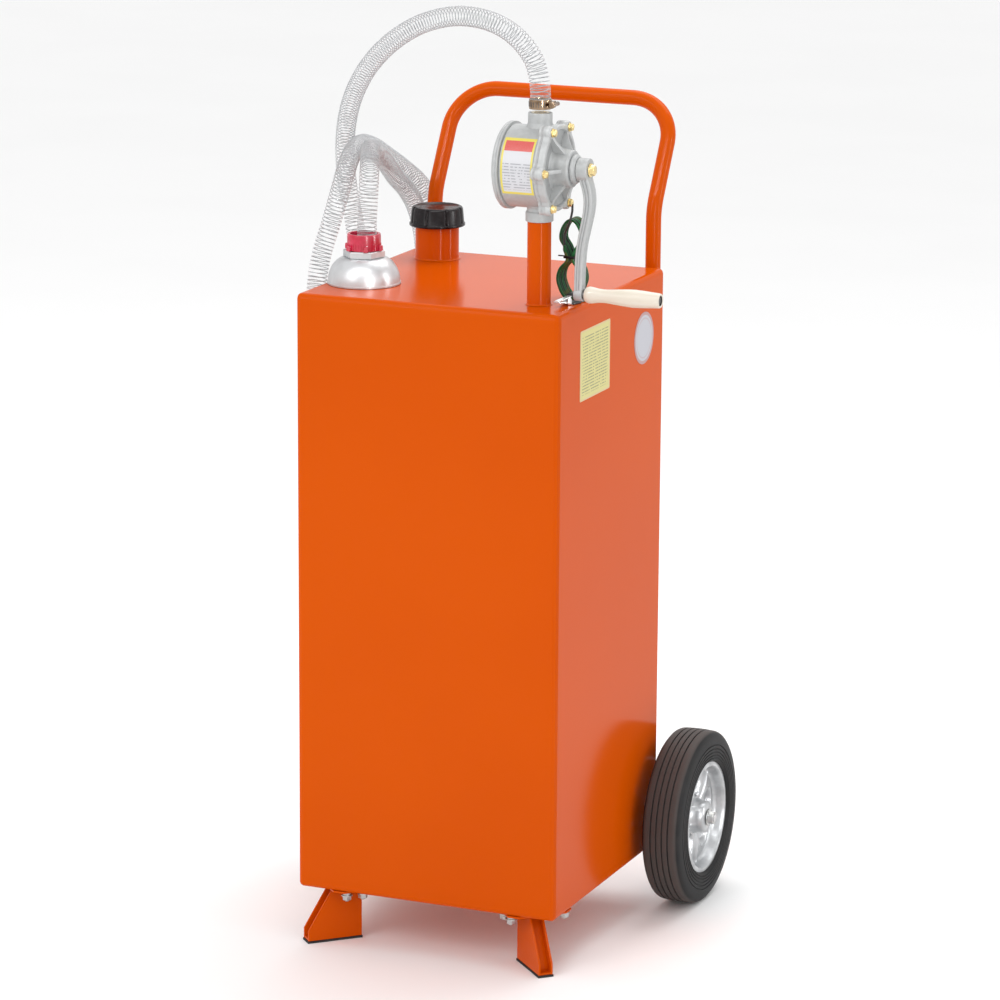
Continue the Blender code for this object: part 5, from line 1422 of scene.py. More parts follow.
    def make_bolt(self, index: int, turn: float) -> None:
        """Make a brass hexagon bolt with its washer.

        Args:
            index: Number of the bolt, from nought.
            turn: Its turn round the shaft.
        """
        centre = self.lobe_centre(turn)
        seat = self.cover_low + self.cover_thick + self.lobe_proud + SEAT
        washer = rounded(rod(0.0060, seat, seat + 0.0012), 0.0003)
        tip = [(POLE, seat + 0.0050), (0.0030, seat + 0.0050), (0.0026, seat + 0.0058), (POLE, seat + 0.0058)]
        bm = bmesh.new()
        lathe(bm, washer, Along.X, centre, 32)
        bevelled_prism(bm, disc_outline(0.0052, 6, index * 0.7), seat + 0.0010, seat + 0.0052, 0.0005,
                       facing_right(centre))
        lathe(bm, tip, Along.X, centre, 20)
        lathe(bm, rod(0.0028, self.body_high - 0.006, seat + 0.0005), Along.X, centre, 20)
        screw = from_bmesh(f"cover_screw_{index + 1}", bm)
        self.shop.fit(screw, Body.CADDY, BRASS, [f"cover_bolt_{index + 1}"])

    def make_label(self) -> None:
        """Plain plate bent round the front of the drum."""
        centre = self.centre()
        low, high = self.label_span
        radius, film = self.body_radius + 0.0002, self.film
        bm = bmesh.new()
        rows = []
        for along, lift in ((low, 0.0), (high, 0.0), (high - film / 2, film), (low + film / 2, film)):
            row = []
            for i in range(self.label_steps + 1):
                rise = self.label_height - centre.z + self.label_half * (2 * i / self.label_steps - 1)
                turn = atan2(-((radius ** 2 - rise ** 2) ** 0.5), rise)
                point = centre + Vector((along, (radius + lift) * sin(turn), (radius + lift) * cos(turn)))
                row.append(bm.verts.new(point))
            rows.append(row)
        for first, second in zip(rows, rows[1:] + rows[:1]):
            for i in range(self.label_steps):
                bm.faces.new((first[i], first[i + 1], second[i + 1], second[i]))
        bm.faces.new([row[0] for row in rows])
        bm.faces.new([row[-1] for row in rows])
        middle = (centre.x + (low + high) / 2, 0.0, self.label_height)
        finish = RuledPlate("drum plate", Slot.PLASTIC, (0.58, 0.58, 0.61), 0.36, coat=0.2, swing=0.06,
                            depth=0.00002, centre=middle, half=((high - low) / 2, self.label_half),
                            across=Along.X, border=0.0030, pitch=0.0040, border_shade=(0.70, 0.58, 0.05),
                            line_shade=(0.22, 0.22, 0.25), band=0.42, blank=0.20)
        self.shop.fit(from_bmesh("drum_plate", bm), Body.CADDY, finish)


@dataclass
class Clamp:
    """Worm-drive clamp round the hose's start."""

    shop: Workshop
    low: float = 1.2042
    width: float = 0.0130
    bore: float = 0.0143
    band: float = 0.0012
    marks: int = 9
    mark_half: float = 0.0004
    mark_inset: float = 0.0030
    mark_start: float = radians(200)
    mark_pitch: float = radians(14)
    box_reach: float = 0.0208
    box_half: Flat = (0.0060, 0.0045)
    screw_radius: float = 0.0042

    def build(self) -> None:
        """Make the band with dark marks of painted shade where its slots are, and the screw housing."""
        centre = placed((*POST_SPOT, self.low))
        outer, width, middle = self.bore + self.band, self.width, self.width / 2
        band = [(self.bore, 0.0), (outer, 0.0), (outer, width), (self.bore, width)]
        bm = bmesh.new()
        lathe(bm, rounded(band, 0.0003, 2, True), Along.Z, centre, 72, True)
        half, inset = self.mark_half, self.mark_inset
        mark = [(-half, inset), (half, inset), (half, width - inset), (-half, width - inset)]
        plain = len(bm.faces)
        for i in range(self.marks):
            turn = self.mark_start + i * self.mark_pitch
            bevelled_prism(bm, mark, outer - 0.0002, outer + 0.0003, 0.0001, facing_out(centre, turn))
        # The marks take the blackened steel: painted shade standing in for the slots' dark openings
        for face in list(bm.faces)[plain:]:
            face.material_index = 1
        wide, tall = self.box_half
        box = [(self.bore, middle - tall), (self.box_reach, middle - tall), (self.box_reach, middle + tall),
               (self.bore, middle + tall)]
        bevelled_prism(bm, rounded(box, 0.0012, 3, True), -wide, wide, 0.0008,
                       lambda out, up, aside: centre + Vector((out, aside, up)))
        head = self.screw_radius
        screw = [(POLE, -0.0120), (0.0036, -0.0120), (head, -0.0112), (head, -0.0080), (0.0030, -0.0075),
                 (0.0030, 0.0110), (0.0024, 0.0120), (POLE, 0.0120)]
        lathe(bm, screw, Along.Y, centre + Vector((self.box_reach, 0.0, middle)), 32)
        piece = self.shop.fit(from_bmesh("worm_clamp", bm), Body.CADDY, WARM_STEEL, ["hose_clamp"])
        piece.data.materials.append(DARK_STEEL_AND_PAINTED_SHADE.material())


@dataclass
class Crank:
    """Crank arm, its end bolt, the spindle and the wooden grip."""

    shop: Workshop
    length: float = 0.1700
    shaft_bore: float = 0.0078
    spindle_bore: float = 0.0043
    boss: Flat = (0.1055, 0.1210)
    boss_radius: float = 0.0160
    tip: Flat = (0.1015, 0.1135)
    tip_radius: float = 0.0094
    bow: float = 0.0130
    bow_shares: tuple[Flat, ...] = (
        (0.00, 0.00), (0.07, 0.14), (0.15, 0.46), (0.235, 0.62), (0.33, 0.54), (0.44, 0.26), (0.54, -0.02),
        (0.64, -0.24), (0.76, -0.36), (0.88, -0.42), (1.00, -0.44))
    half_section: tuple[Flat, ...] = (
        (0.0062, 0.0055), (0.0076, 0.0055), (0.0085, 0.0046), (0.0085, 0.0027), (0.0075, 0.0022),
        (0.0075, 0.0014), (0.0085, 0.0009), (0.0085, -0.0009), (0.0075, -0.0014), (0.0075, -0.0022),
        (0.0085, -0.0027), (0.0085, -0.0046), (0.0076, -0.0055), (0.0062, -0.0055), (0.0054, -0.0047),
        (-0.0054, -0.0047))
    taper: Flat = (1.16, 0.90)
    arm_points: int = 72
    grip_low: float = 0.1167
    grip_length: float = 0.1085
    grip_radius: float = 0.0110
    grip_shares: tuple[Flat, ...] = (
        (0.00, 0.78), (0.01, 0.90), (0.03, 1.00), (0.055, 1.05), (0.09, 1.02), (0.13, 0.95), (0.18, 0.87),
        (0.24, 0.83), (0.29, 0.84), (0.35, 0.89), (0.43, 0.97), (0.52, 1.05), (0.60, 1.10), (0.66, 1.115),
        (0.73, 1.09), (0.81, 1.04), (0.89, 0.98), (0.95, 0.94), (0.98, 0.92), (1.00, 0.86))
    recess: Flat = (0.0070, 0.0052)
    recess_edge: float = 0.0006

    def build(self) -> None:
        """Make the arm and the grip, round off the bolt and dress the spindle."""
        self.shop.dress(DARK_STEEL_AND_PAINTED_SHADE, "grip_spindle")
        self.make_arm()
        self.shop.softened("crank_bolt", Body.CRANK, BRASS, 0.0004)
        self.make_grip()

    def make_arm(self) -> None:
        """Bowed arm with fine grooves down its edges, between its two bosses."""
        shaft = placed(SHAFT_START)
        middle = sum(self.boss) / 2
        route = smooth_route([shaft + Vector((middle + self.bow * out, 0.0, -self.length * drop))
                              for drop, out in self.bow_shares], self.arm_points)
        section = list(self.half_section) + [(-x, -y) for x, y in self.half_section]
        across = Vector((0.0, 1.0, 0.0))
        rings = []
        for i, point in enumerate(route):
            ahead = (route[min(i + 1, len(route) - 1)] - route[max(i - 1, 0)]).normalized()
            out = ahead.cross(across)
            taper = self.taper[0] + (self.taper[1] - self.taper[0]) * i / len(route)
            rings.append([point + across * (x * taper) + out * (y * max(taper, 1.0)) for x, y in section])
        bm = bmesh.new()
        skin(bm, rings)
        for span, radius, bore, drop in ((self.boss, self.boss_radius, self.shaft_bore, 0.0),
                                         (self.tip, self.tip_radius, self.spindle_bore, self.length)):
            profile = [(bore, span[0]), (radius, span[0]), (radius, span[1]), (bore, span[1])]
            lathe(bm, rounded(profile, 0.0012, 3, True), Along.X, shaft - Vector((0.0, 0.0, drop)), 56, True)
        self.shop.fit(from_bmesh("grooved_arm", bm, 40.0), Body.CRANK, CASTING, ["crank_arm"])

    def make_grip(self) -> None:
        """Turned grip whose end is let in round the spindle's head."""
        axis = placed(SHAFT_START) - Vector((0.0, 0.0, self.length))
        low, end = self.grip_low, self.grip_low + self.grip_length
        wide, deep = self.recess
        profile = [(self.spindle_bore, low)]
        for along, share in self.grip_shares:
            profile.append((self.grip_radius * share, low + self.grip_length * along))
        profile += [(wide + self.recess_edge, end), (wide, end - self.recess_edge), (wide, end - deep),
                    (self.spindle_bore, end - deep)]
        piece = turned("wooden_grip", profile, Along.X, axis, 56, True)
        self.shop.fit(piece, Body.GRIP, WOOD, ["crank_grip"])
        piece.data.materials.append(DARK_STEEL_AND_PAINTED_SHADE.material())
        # The recess's own faces take the blackened steel: painted shade inside the recess round the spindle's
        # head
        for face in piece.data.polygons:
            out = hypot(face.center.y - axis.y, face.center.z - axis.z)
            if face.center.x > axis.x + end - deep - 0.0004 and out < wide + 0.0002:
                face.material_index = 1


HOSE_ROUTE: tuple[Point, ...] = (
    (0.138, -0.129, 1.1997), (0.138, -0.129, 1.2280), (0.126, -0.122, 1.266), (0.096, -0.111, 1.295),
    (0.053, -0.096, 1.312), (-0.005, -0.077, 1.315), (-0.068, -0.055, 1.299), (-0.125, -0.031, 1.268),
    (-0.174, -0.003, 1.227), (-0.214, 0.030, 1.177), (-0.242, 0.066, 1.123), (-0.255, 0.092, 1.072),
    (-0.255, 0.104, 1.025), (-0.246, 0.103, 0.984), (-0.233, 0.092, 0.939), (-0.220, 0.096, 0.875),
    (-0.2135, 0.120, 0.815), (-0.2125, 0.168, 0.778), (-0.2105, 0.230, 0.775), (-0.203, 0.283, 0.808),
    (-0.196, 0.307, 0.868), (-0.1955, 0.302, 0.922), (-0.199, 0.282, 0.975), (-0.206, 0.249, 1.019),
    (-0.2135, 0.203, 1.050), (-0.217, 0.153, 1.075), (-0.218, 0.108, 1.095), (-0.2155, 0.062, 1.106),
    (-0.208, 0.016, 1.101), (-0.201, -0.022, 1.081), (-0.199, -0.048, 1.052), (-0.201, -0.070, 1.015),
    (-0.208, -0.087, 0.972), (-0.2125, -0.094, 0.928), (-0.217, -0.087, 0.872), (-0.231, -0.050, 0.808),
    (-0.247, 0.020, 0.764), (-0.255, 0.100, 0.748), (-0.248, 0.178, 0.764), (-0.226, 0.237, 0.818),
    (-0.208, 0.258, 0.883), (-0.2045, 0.252, 0.940), (-0.205, 0.229, 0.988), (-0.203, 0.190, 1.022),
    (-0.198, 0.138, 1.050), (-0.188, 0.080, 1.082), (-0.177, 0.025, 1.105), (-0.163, -0.021, 1.1135),
    (-0.149, -0.054, 1.101), (-0.1405, -0.0765, 1.068), (-0.138, -0.0877, 1.020), (-0.138, -0.0877, 0.990))


@dataclass
class Hose:
    """Clear hose with a wire helix in its wall, and the strainer on its end."""

    shop: Workshop
    radius: float = 0.0140
    points: int = 420
    wire_radius: float = 0.0006
    wire_inset: float = 0.0005
    pitch: float = 0.0054
    turn_points: int = 12
    bell: Flat = (-0.1426, -0.0877)
    base: float = TANK_TOP + SEAT
    bell_radius: float = 0.0515
    bell_height: float = 0.0370
    bell_top: float = 0.0285
    bell_wall: float = 0.0015
    bell_lip: float = 0.0030
    bell_bore: float = 0.0110
    bell_steps: int = 20
    nut_radius: float = 0.0256
    nut_height: float = 0.0095
    spigot_radius: float = 0.0210
    spigot_end: float = 0.0523
    collar_low: float = 0.0471
    collar_high: float = 0.0701
    collar_seat: float = 0.0528
    collar_radius: float = 0.0236
    collar_bore: float = 0.0213
    collar_mouth: float = 0.0196
    lugs: int = 6
    grip_ribs: int = 36

    def build(self) -> None:
        line = smooth_route([placed(point) for point in HOSE_ROUTE], self.points)
        wall = tube_curve("hose_wall", line, self.radius, 7)
        self.shop.fit(wall, Body.CADDY, CLEAR, ["hose"])
        wire = self.make_wire(line)
        bell = self.make_bell()
        collar = self.make_collar()
        nut = self.make_nut()
        self.shop.dress(SHELL, "strainer_mesh")
        tuple(line[0])
        line_length(line)

    def make_wire(self, line: Sequence[Vector]) -> bpy.types.Object:
        """Wind the steel helix that keeps the hose round.

        Args:
            line: Centre line of the hose.

        Returns:
            The helix.
        """
        turns = int(line_length(line) / self.pitch)
        frames = carried_frames(evenly(line, turns * self.turn_points + 1))
        reach = self.radius - self.wire_inset
        start = self.turn_points // 2
        path = []
        for i, (place, side, up) in enumerate(frames[start:-start]):
            angle = tau * i / self.turn_points
            path.append(place + side * (reach * cos(angle)) + up * (reach * sin(angle)))
        bm = bmesh.new()
        swept(bm, path, disc_outline(self.wire_radius, 6))
        return self.shop.fit(from_bmesh("hose_wire", bm, 80.0), Body.CADDY, WIRE)

    def make_bell(self) -> bpy.types.Object:
        """Turn the strainer's bell, thin-walled and open below.

        Returns:
            The bell.
        """
        edge, height, bore = self.bell_radius, self.bell_height, self.bell_bore
        wall, lip, top = self.bell_wall, self.bell_lip, self.bell_top
        spread = edge - 0.0010 - top
        outer, inner = [], []
        for step in range(self.bell_steps + 1):
            drop = 1 - (1 - (1 - step / self.bell_steps) ** 2) ** 0.8
            out = (1 - (1 - drop) ** 2) ** 0.62
            outer.append((top + spread * out, height - (height - lip) * drop))
            inner.append((top + (spread - wall) * out, height - wall - (height - lip - wall) * drop))
        rim = [(edge - 0.0010 - wall, 0.0), (edge - 0.0004, 0.0), (edge, 0.0004), (edge, lip - 0.0004),
               (edge - 0.0004, lip)]
        profile = rim + outer + [(bore, height), (bore, height - wall)] + inner[::-1]
        piece = turned("bell", profile, Along.Z, placed((*self.bell, self.base)), 96, True)
        return self.shop.fit(piece, Body.CADDY, SHELL, ["strainer_bell"])

    def make_collar(self) -> bpy.types.Object:
        """Make the crimson collar with its lugs and fine grip ribs.

        Returns:
            The collar.
        """
        centre = placed((*self.bell, self.base))
        low, high, radius = self.collar_low, self.collar_high, self.collar_radius
        profile = [(self.collar_bore, low), (radius, low), (radius, high - 0.0050), (radius - 0.0006, high),
                   (self.collar_mouth, high), (self.collar_mouth, self.collar_seat),
                   (self.collar_bore, self.collar_seat)]
        bm = bmesh.new()
        lathe(bm, rounded(profile, 0.0008, 3, True), Along.Z, centre, 96, True)
        lug = [(-0.0035, low), (0.0035, low), (0.0028, low + 0.0075), (-0.0028, low + 0.0075)]
        for i in range(self.lugs):
            bevelled_prism(bm, rounded(lug, 0.0008, 2, True), 0.0222, 0.0277, 0.0006,
                           facing_out(centre, tau * i / self.lugs))
        foot, crest = low + 0.0006, low + 0.0098
        rib = [(-0.0008, foot), (0.0008, foot), (0.0006, crest), (-0.0006, crest)]
        for i in range(self.grip_ribs):
            bevelled_prism(bm, rib, radius - 0.0006, radius + 0.0005, 0.0003,
                           facing_out(centre, tau * (i + 0.5) / self.grip_ribs))
        return self.shop.fit(from_bmesh("collar", bm, 45.0), Body.CADDY, CRIMSON, ["hose_collar"])

    def make_nut(self) -> bpy.types.Object:
        """Make the hexagon neck between bell and collar.

        Returns:
            The neck.
        """
        centre = placed((*self.bell, self.base))
        low, high = self.bell_height + SEAT, self.bell_height + SEAT + self.nut_height
        bm = bmesh.new()
        bevelled_prism(bm, disc_outline(self.nut_radius / cos(pi / 6), 6, pi / 12), low, high, 0.0010,
                       lying_flat(centre))
        spigot = [(self.bell_bore, high - 0.0005), (self.spigot_radius, high - 0.0005),
                  (self.spigot_radius, self.spigot_end), (self.bell_bore, self.spigot_end)]
        lathe(bm, spigot, Along.Z, centre, 48, True)
        return self.shop.fit(from_bmesh("hex_neck", bm), Body.CADDY, SHELL, ["strainer_neck"])


@dataclass
class Grounding:
    """Black lead, green hank with its tie, and the spring clip."""

    shop: Workshop
    base: float = TANK_TOP + SEAT
    lead_radius: float = 0.0016
    lead_start: Point = (0.1738, -0.09925, 1.0726)
    lead_points: int = 40
    wire_radius: float = 0.0020
    hank: Flat = (0.1655, -0.0880)
    height: float = 0.1120
    lobe: float = 0.0205
    waist_rise: float = 0.0600
    waist_reach: float = 0.0170
    gap: float = 0.0009
    pitch: float = 0.0056
    loops: int = 5
    loop_points: int = 24
    strand_points: int = 1100
    bend: float = 0.0110
    bend_steps: int = 8
    clip: Flat = (0.1825, -0.0975)
    heading: float = radians(253)
    boot: float = 0.0175

    def clip_heading(self) -> Vector:
        """Direction in which the clip points."""
        return Vector((cos(self.heading), sin(self.heading), 0.0))

    def hank_line(self) -> list[Vector]:
        """Work out the wound lead's route, as its solid has it.

        Returns:
            Loops of a figure of eight, then the run along the floor to the clip.
        """
        floor = self.base + self.wire_radius
        reach = (self.height - 2 * self.wire_radius) / 2
        middle = floor + reach
        waist = self.base + self.waist_rise
        half_waist = self.wire_radius + self.gap / 2
        points = []
        count = self.loop_points
        for i in range(count // 4 - 1, self.loops * count + count // 2 + 1):
            turns, at = divmod(i, count)
            angle = tau * at / count
            z = middle + reach * cos(angle)
            drawn = 1 - exp(-((z - waist) / self.waist_reach) ** 2)
            width = half_waist + (self.lobe - half_waist) * drawn
            climb = min(1.0, max(0.0, (at / count - 0.5) / 0.5))
            back = self.pitch * (turns + climb)
            points.append(Vector((self.hank[0] - width * sin(angle), self.hank[1] + back, z)))
        points.insert(0, points[0] + Vector((0.0, 0.0, 3 * self.wire_radius)))
        heading = self.clip_heading()
        rear = Vector((*self.clip, floor))
        turn = tau - self.heading
        first_y = points[-1].y
        back = (first_y - self.bend * (1 - cos(turn)) - rear.y) / heading.y
        first_x = rear.x + heading.x * back - self.bend * sin(turn)
        for step in range(self.bend_steps + 1):
            angle = turn * step / self.bend_steps
            fall = self.bend * (1 - cos(angle))
            points.append(Vector((first_x + self.bend * sin(angle), first_y - fall, floor)))
        points.append(rear - heading * SEAT)
        return [placed(point) for point in points]

    def build(self) -> None:
        hank = smooth_route(self.hank_line(), self.strand_points)
        wound = tube_curve("wound_lead", hank, self.wire_radius, 4)
        self.shop.fit(wound, Body.CADDY, GREEN, ["ground_hank"])
        lead_line = self.lead_line(hank[0])
        lead = tube_curve("black_lead", lead_line, self.lead_radius, 4)
        self.shop.fit(lead, Body.CADDY, BLACK_LEAD, ["ground_lead"])
        tie = self.shop.softened("hank_tie", Body.CADDY, BLACK, 0.0003, 1)
        lower = self.make_half("clip_lower", Body.CADDY)
        upper = self.make_half("clip_upper", Body.CLIP_JAW)
        self.shop.dress(STEEL, "clip_spring")
        tuple(lead_line[0])
        line_length(lead_line)
        tuple(hank[0])
        line_length(hank)

    def lead_line(self, hank_top: Vector) -> list[Vector]:
        """Lay the short black lead from the cover's lowest bolt to the hank.

        Args:
            hank_top: Where the hank starts.

        Returns:
            Its centre line.
        """
        start = placed(self.lead_start)
        end = hank_top + Vector((0.0, 0.0, SEAT))
        fall = start.z - end.z
        knots = [start]
        for aside, left in ((0.0, 0.85), (0.35, 0.55), (1.0, 0.22)):
            knot = start.lerp(end, aside)
            knots.append(Vector((knot.x, knot.y, end.z + fall * left)))
        return smooth_route(knots + [end], self.lead_points)

    def make_half(self, node: str, body: Body) -> bpy.types.Object:
        """Make one half of the clip: bright plated steel with a black boot over its tail.

        Args:
            node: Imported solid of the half.
            body: Body that it rides on.

        Returns:
            The half.
        """
        piece = self.shop.softened(node, body, PLATED, 0.0004, 2)
        mesh = piece.data
        mesh.materials.append(BLACK_LEAD.material())
        rear = placed((*self.clip, self.base))
        for face in mesh.polygons:
            if (face.center - rear).dot(self.clip_heading()) < self.boot:
                face.material_index = 1
        return piece


@dataclass
class Handle:
    """Bent push handle with its bolts."""

    shop: Workshop
    radius: float = 0.0110
    half: float = 0.1700
    y: float = 0.2169
    foot_z: float = 0.7600
    knee_z: float = 1.0166
    top_y: float = 0.2989
    top_z: float = 1.1610
    knee_radius: float = 0.0700
    corner_radius: float = 0.0650
    bend_steps: int = 18
    bolts: int = 4

    def build(self) -> None:
        """Make the tube and round off the bolts."""
        corners = [(-self.half, self.y, self.foot_z), (-self.half, self.y, self.knee_z),
                   (-self.half, self.top_y, self.top_z), (self.half, self.top_y, self.top_z),
                   (self.half, self.y, self.knee_z), (self.half, self.y, self.foot_z)]
        radii = (self.knee_radius, self.corner_radius, self.corner_radius, self.knee_radius)
        path = [placed(corners[0])]
        for before, corner, after, radius in zip(corners, corners[1:], corners[2:], radii):
            path += self.bend(placed(before), placed(corner), placed(after), radius)
        path.append(placed(corners[-1]))
        bm = bmesh.new()
        swept(bm, path, disc_outline(self.radius, 32))
        self.shop.fit(from_bmesh("push_bar", bm, 50.0), Body.CADDY, PAINT, ["handle"])
        for i in range(self.bolts):
            self.shop.softened(f"handle_bolt_{i + 1}", Body.CADDY, ZINC, 0.0005)

    def bend(self, before: Vector, corner: Vector, after: Vector, radius: float) -> list[Vector]:
        """Round one corner of the tube's line.

        Args:
            before: Corner before it.
            corner: The corner itself.
            after: Corner after it.
            radius: Radius of the bend.

        Returns:
            Points of the arc.
        """
        back = (before - corner).normalized()
        ahead = (after - corner).normalized()
        half = back.angle(ahead) / 2
        centre = corner + (back + ahead).normalized() * radius / sin(half)
        start = corner + back * (radius * cos(half) / sin(half)) - centre
        normal = -start.cross(back).normalized()
        return [centre + Matrix.Rotation((pi - 2 * half) * step / self.bend_steps, 3, normal) @ start
                for step in range(self.bend_steps + 1)]


@dataclass
class Feet:
    """Folded channel feet with their pads and bolts."""

    shop: Workshop
    plate_z: float = 0.0783
    sheet: float = 0.0028
    base: float = 0.0033
    toe: float = 0.0091
    toe_z: float = 0.0183
    heel: float = 0.0897
    slant: float = 0.0461
    side: float = 0.0153
    lip: float = -0.0029
    lip_depth: float = 0.0150
    inset: float = 0.0105
    plate: tuple[Flat, ...] = ((0.040, -0.036), (0.052, -0.048), (0.096, -0.048), (0.096, 0.048),
                               (0.052, 0.048), (0.040, 0.036))
    bolts: tuple[Flat, ...] = ((0.059, 0.040), (0.083, 0.040), (0.059, -0.040), (0.083, -0.040))

    def build(self) -> None:
        """Make the feet and add the bolts under the tank's corners."""
        for side, word in ((-1, "left"), (1, "right")):
            self.shop.fit(self.make_foot(side, word), Body.CADDY, PAINT, [f"foot_{word}"])
            self.shop.dress(RUBBER, f"foot_pad_{word}")
            bm = bmesh.new()
            for i, (u, v) in enumerate(self.bolts):
                self.add_bolt(bm, self.corner(side, u, v, 0.0), i * 0.6)
            self.shop.fit(from_bmesh(f"foot_bolts_{word}", bm), Body.CADDY, ZINC)

    def corner(self, side: int, u: float, v: float, z: float) -> Vector:
        """Place of a point that is given along and across the diagonal of a front corner."""
        root = 0.5 ** 0.5
        return placed((side * (TANK_HALF_X - (u + v) * root), -TANK_HALF_Y + (u - v) * root, z))

    def make_foot(self, side: int, word: str) -> bpy.types.Object:
        """Make one foot: side plate, narrow lip and set-back face, between a top plate and a sole.

        Args:
            side: One for the right foot, minus one for the left.
            word: The side in words.

        Returns:
            The foot.
        """
        sheet, top = self.sheet, self.plate_z + self.sheet / 2
        slope = hypot(self.slant - self.toe, top - self.toe_z) / (top - self.toe_z)
        base, toe, toe_z, slant, deep = self.base, self.toe, self.toe_z, self.slant, self.lip_depth
        web = [(toe, base), (self.heel, base), (self.heel, top), (slant, top), (toe, toe_z)]
        lip = [(toe, base), (toe + deep, base), (toe + deep, toe_z - sheet), (slant + deep * slope, top),
               (slant, top), (toe, toe_z)]
        near, far = toe + self.inset, toe + self.inset + sheet
        high = slant + self.inset
        face = [(near, base), (far, base), (far, toe_z - sheet), (high + sheet * slope, top), (high, top),
                (near, toe_z - sheet / 2)]
        edge, inner, outer = toe + 0.0004, self.lip + sheet / 2, self.side + sheet / 2
        sole = [(edge, inner), (far, inner), (far, outer), (edge, outer)]

        def upright(u: float, z: float, v: float) -> Vector:
            """Place of a point of an upright sheet."""
            return self.corner(side, u, v, z)

        def flat(u: float, v: float, z: float) -> Vector:
            """Place of a point of the top plate."""
            return self.corner(side, u, v, z)

        bm = bmesh.new()
        bevelled_prism(bm, web, self.side, self.side + sheet, 0.0005, upright)
        bevelled_prism(bm, lip, self.lip, self.lip + sheet, 0.0005, upright)
        bevelled_prism(bm, face, inner, outer, 0.0001, upright)
        bevelled_prism(bm, self.plate, self.plate_z, self.plate_z + sheet, 0.0005, flat)
        bevelled_prism(bm, sole, base, base + sheet, 0.0003, flat)
        return from_bmesh(f"channel_foot_{word}", bm)

    def add_bolt(self, bm: bmesh.types.BMesh, spot: Vector, turn: float) -> None:
        """Add a hexagon head with its spacer and washer, under the foot's plate.

        Args:
            bm: Mesh that takes the faces.
            spot: Place of its axis, on the floor.
            turn: Turn of the head.
        """
        top = self.plate_z
        stack = [(POLE, top - 0.0050), (0.0082, top - 0.0050), (0.0082, top - 0.0034), (0.0062, top - 0.0032),
                 (0.0062, top), (POLE, top)]
        tip = [(POLE, top - 0.0132), (0.0028, top - 0.0132), (0.0034, top - 0.0126), (0.0034, top - 0.0110),
               (POLE, top - 0.0110)]
        lathe(bm, stack, Along.Z, spot, 32)
        head = disc_outline(0.0068, 6, turn)
        bevelled_prism(bm, head, top - 0.0112, top - 0.0048, 0.0006, lying_flat(spot))
        lathe(bm, tip, Along.Z, spot, 20)


